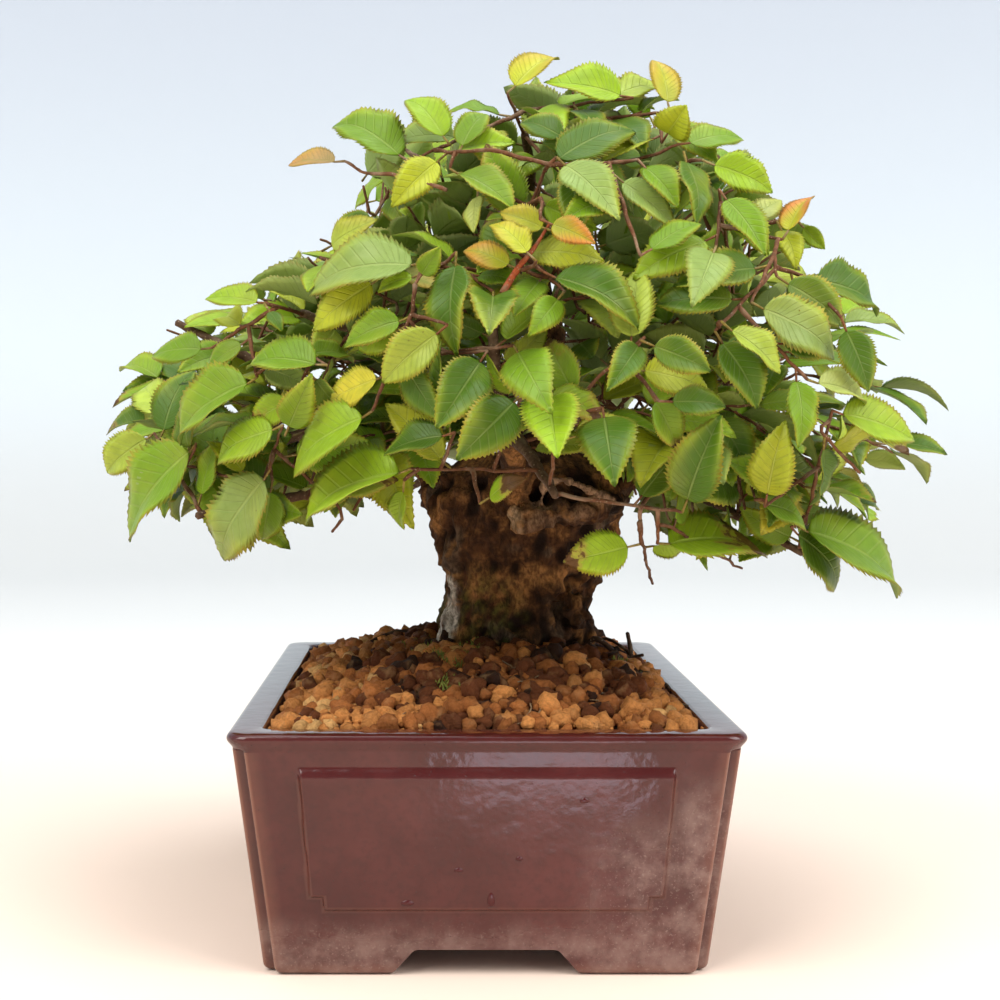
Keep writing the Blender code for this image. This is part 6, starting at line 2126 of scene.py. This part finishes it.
class BonsaiPotSettings(bpy.types.PropertyGroup):
    glaze: tone("Glaze", "of the thick glaze", (0.05, 0.006, 0.005))
    glaze_light: tone("Lighter glaze", "of the clouds in the glaze", (0.076, 0.0125, 0.0105))
    # Thin glaze over the edges, and painted highlight along them and along the panel's outline
    edge_glaze_and_highlight: tone("Thin glaze", "where the glaze thins over an edge", (0.22, 0.09, 0.055))
    lime: tone("Lime", "of the hard-water specks low on the wall", (0.34, 0.25, 0.21))
    haze: tone("Haze", "of the hard-water haze on the wall", (0.3, 0.2, 0.165))
    gloss: FloatProperty(
        name="Roughness", description="Roughness of the glaze", default=0.15, min=0.05, max=1.0
    )


class BonsaiSoilSettings(bpy.types.PropertyGroup):
    grain_step: metres("Spacing", "Distance of two grains", 0.0035)
    crumbs: whole("Crumbs", "Number of small crumbs between the grains", 2000)
    ochre: tone("Ochre", "of dry grains", (0.62, 0.25, 0.068))
    red: tone("Red", "of damp grains", (0.38, 0.128, 0.032))
    wet: tone("Wet", "of wet grains", (0.13, 0.038, 0.011))
    pale: tone("Pale", "of the driest grains", (0.76, 0.42, 0.15))
    dark: tone("Dark", "of black grains", (0.026, 0.01, 0.005))


class BonsaiBarkSettings(bpy.types.PropertyGroup):
    bark: tone("Bark", "of the trunk's bark", (0.088, 0.038, 0.015))
    patches: tone("Patches", "of the bark where it flaked off", (0.4, 0.19, 0.062))
    # Painted shade in the bark's furrows, dents and hollow and on the trunk's right side
    hollows: tone("Hollows", "in the furrows and hollows", (0.01, 0.005, 0.0035))
    dead_wood: tone("Dead wood", "of the bare strip at the foot", (0.8, 0.74, 0.64))
    young_twig: tone("Young twig", "of thin twigs", (0.165, 0.064, 0.026))
    old_twig: tone("Old twig", "of thick twigs", (0.115, 0.066, 0.036))


class BonsaiLeafSettings(bpy.types.PropertyGroup):
    fill_sprays: whole("Sprays", "Number of sprays that fill the crown", 420)
    twig_leaf: metres("Small leaf", "Length of a leaf on a twig", 0.02)
    mid: tone("Green", "of most leaves", (0.205, 0.36, 0.016))
    dark: tone("Dark green", "of old leaves", (0.075, 0.165, 0.01))
    bright: tone("Bright green", "of fresh leaves", (0.34, 0.52, 0.022))
    grey_green: tone("Grey green", "of dull leaves", (0.3, 0.41, 0.1))
    light: tone("Light green", "of light leaves", (0.5, 0.62, 0.08))
    yellow_green: tone("Yellow green", "of young leaves", (0.52, 0.57, 0.03))
    pale: tone("Pale green", "of pale leaves", (0.56, 0.63, 0.17))
    yellow: tone("Yellow", "of the youngest leaves", (0.68, 0.62, 0.05))
    tan: tone("Tan", "of the pink leaf", (0.62, 0.42, 0.17))
    scorch: tone("Scorch", "of dead leaf ends", (0.15, 0.068, 0.022))
    blush: tone("Blush", "of the blush on young leaves", (0.66, 0.25, 0.05))


class BonsaiStageSettings(bpy.types.PropertyGroup):
    floor: tone("Floor", "of the floor", (0.84, 0.675, 0.56))
    far_floor: tone("Far floor", "of the floor behind the tree", (0.63, 0.63, 0.61))
    horizon: tone("Horizon", "where the floor bends up", (0.695, 0.745, 0.76))
    wall: tone("Wall", "of the wall behind", (0.565, 0.602, 0.66))
    front: tone("Front", "of the floor and wall behind the eye", (0.3, 0.29, 0.28))
    sky: tone("Sky", "of the light from above the wall", (0.9, 0.95, 1.0))
    sky_strength: FloatProperty(name="Sky strength", description="Strength of the sky's light", default=1.0)
    key_power: watts("Key light", "from the front left", 27.0)
    top_power: watts("Top light", "from above", 20.0)
    glint_power: watts("Glint", "low in front", 0.035)
    fill_power: watts("Fill light", "from the right", 24.0)


class BONSAI_OT_pot(bpy.types.Operator):
    """Gives the pot its glaze and its drain holes their mesh"""

    bl_idname = "bonsai.pot"
    bl_label = "Pot"

    def execute(self, context):
        dress_pot()
        dress_drops()
        dress_drains()
        return {"FINISHED"}


class BONSAI_OT_soil(bpy.types.Operator):
    """Lays the grains of soil, the moss and the litter"""

    bl_idname = "bonsai.soil"
    bl_label = "Soil"

    def execute(self, context):
        dress_soil()
        dress_litter()
        return {"FINISHED"}


class BONSAI_OT_trunk(bpy.types.Operator):
    """Makes the trunk with its furrowed bark"""

    bl_idname = "bonsai.trunk"
    bl_label = "Trunk"

    def execute(self, context):
        dress_trunk()
        return {"FINISHED"}


class BONSAI_OT_crown(bpy.types.Operator):
    """Makes the leafy branches"""

    bl_idname = "bonsai.crown"
    bl_label = "Crown"

    def execute(self, context):
        dress_crown()
        return {"FINISHED"}


class BONSAI_OT_stage(bpy.types.Operator):
    """Sets up the floor, the lights and the camera"""

    bl_idname = "bonsai.stage"
    bl_label = "Stage"

    def execute(self, context):
        set_stage()
        return {"FINISHED"}


class BONSAI_PT_steps(bpy.types.Panel):
    """Lists the steps and what can be changed"""

    bl_idname = "BONSAI_PT_steps"
    bl_label = "Hornbeam Bonsai"
    bl_space_type = "VIEW_3D"
    bl_region_type = "UI"
    bl_category = "Bonsai"

    def draw(self, context):
        column = self.layout.column()
        for step in STEPS:
            column.operator(step.bl_idname)
        for place in SETTINGS:
            group = getattr(context.scene, place)
            column.label(text=place.replace("_", " "))
            for name in group.__annotations__:
                column.prop(group, name)


STEPS = (BONSAI_OT_stage, BONSAI_OT_pot, BONSAI_OT_soil, BONSAI_OT_trunk, BONSAI_OT_crown)
SETTINGS = {
    "bonsai_pot": BonsaiPotSettings,
    "bonsai_soil": BonsaiSoilSettings,
    "bonsai_bark": BonsaiBarkSettings,
    "bonsai_leaves": BonsaiLeafSettings,
    "bonsai_stage": BonsaiStageSettings,
}
CLASSES = (*SETTINGS.values(), *STEPS, BONSAI_PT_steps)


def register():
    for group in CLASSES:
        bpy.utils.register_class(group)
    for place, group in SETTINGS.items():
        setattr(bpy.types.Scene, place, PointerProperty(type=group))


def unregister():
    for place in SETTINGS:
        delattr(bpy.types.Scene, place)
    for group in reversed(CLASSES):
        bpy.utils.unregister_class(group)


def main():
    register()
    bpy.ops.bonsai.stage()
    bpy.ops.bonsai.pot()
    bpy.ops.bonsai.soil()
    bpy.ops.bonsai.trunk()
    bpy.ops.bonsai.crown()
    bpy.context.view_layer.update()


if __name__ == "__main__":
    main()
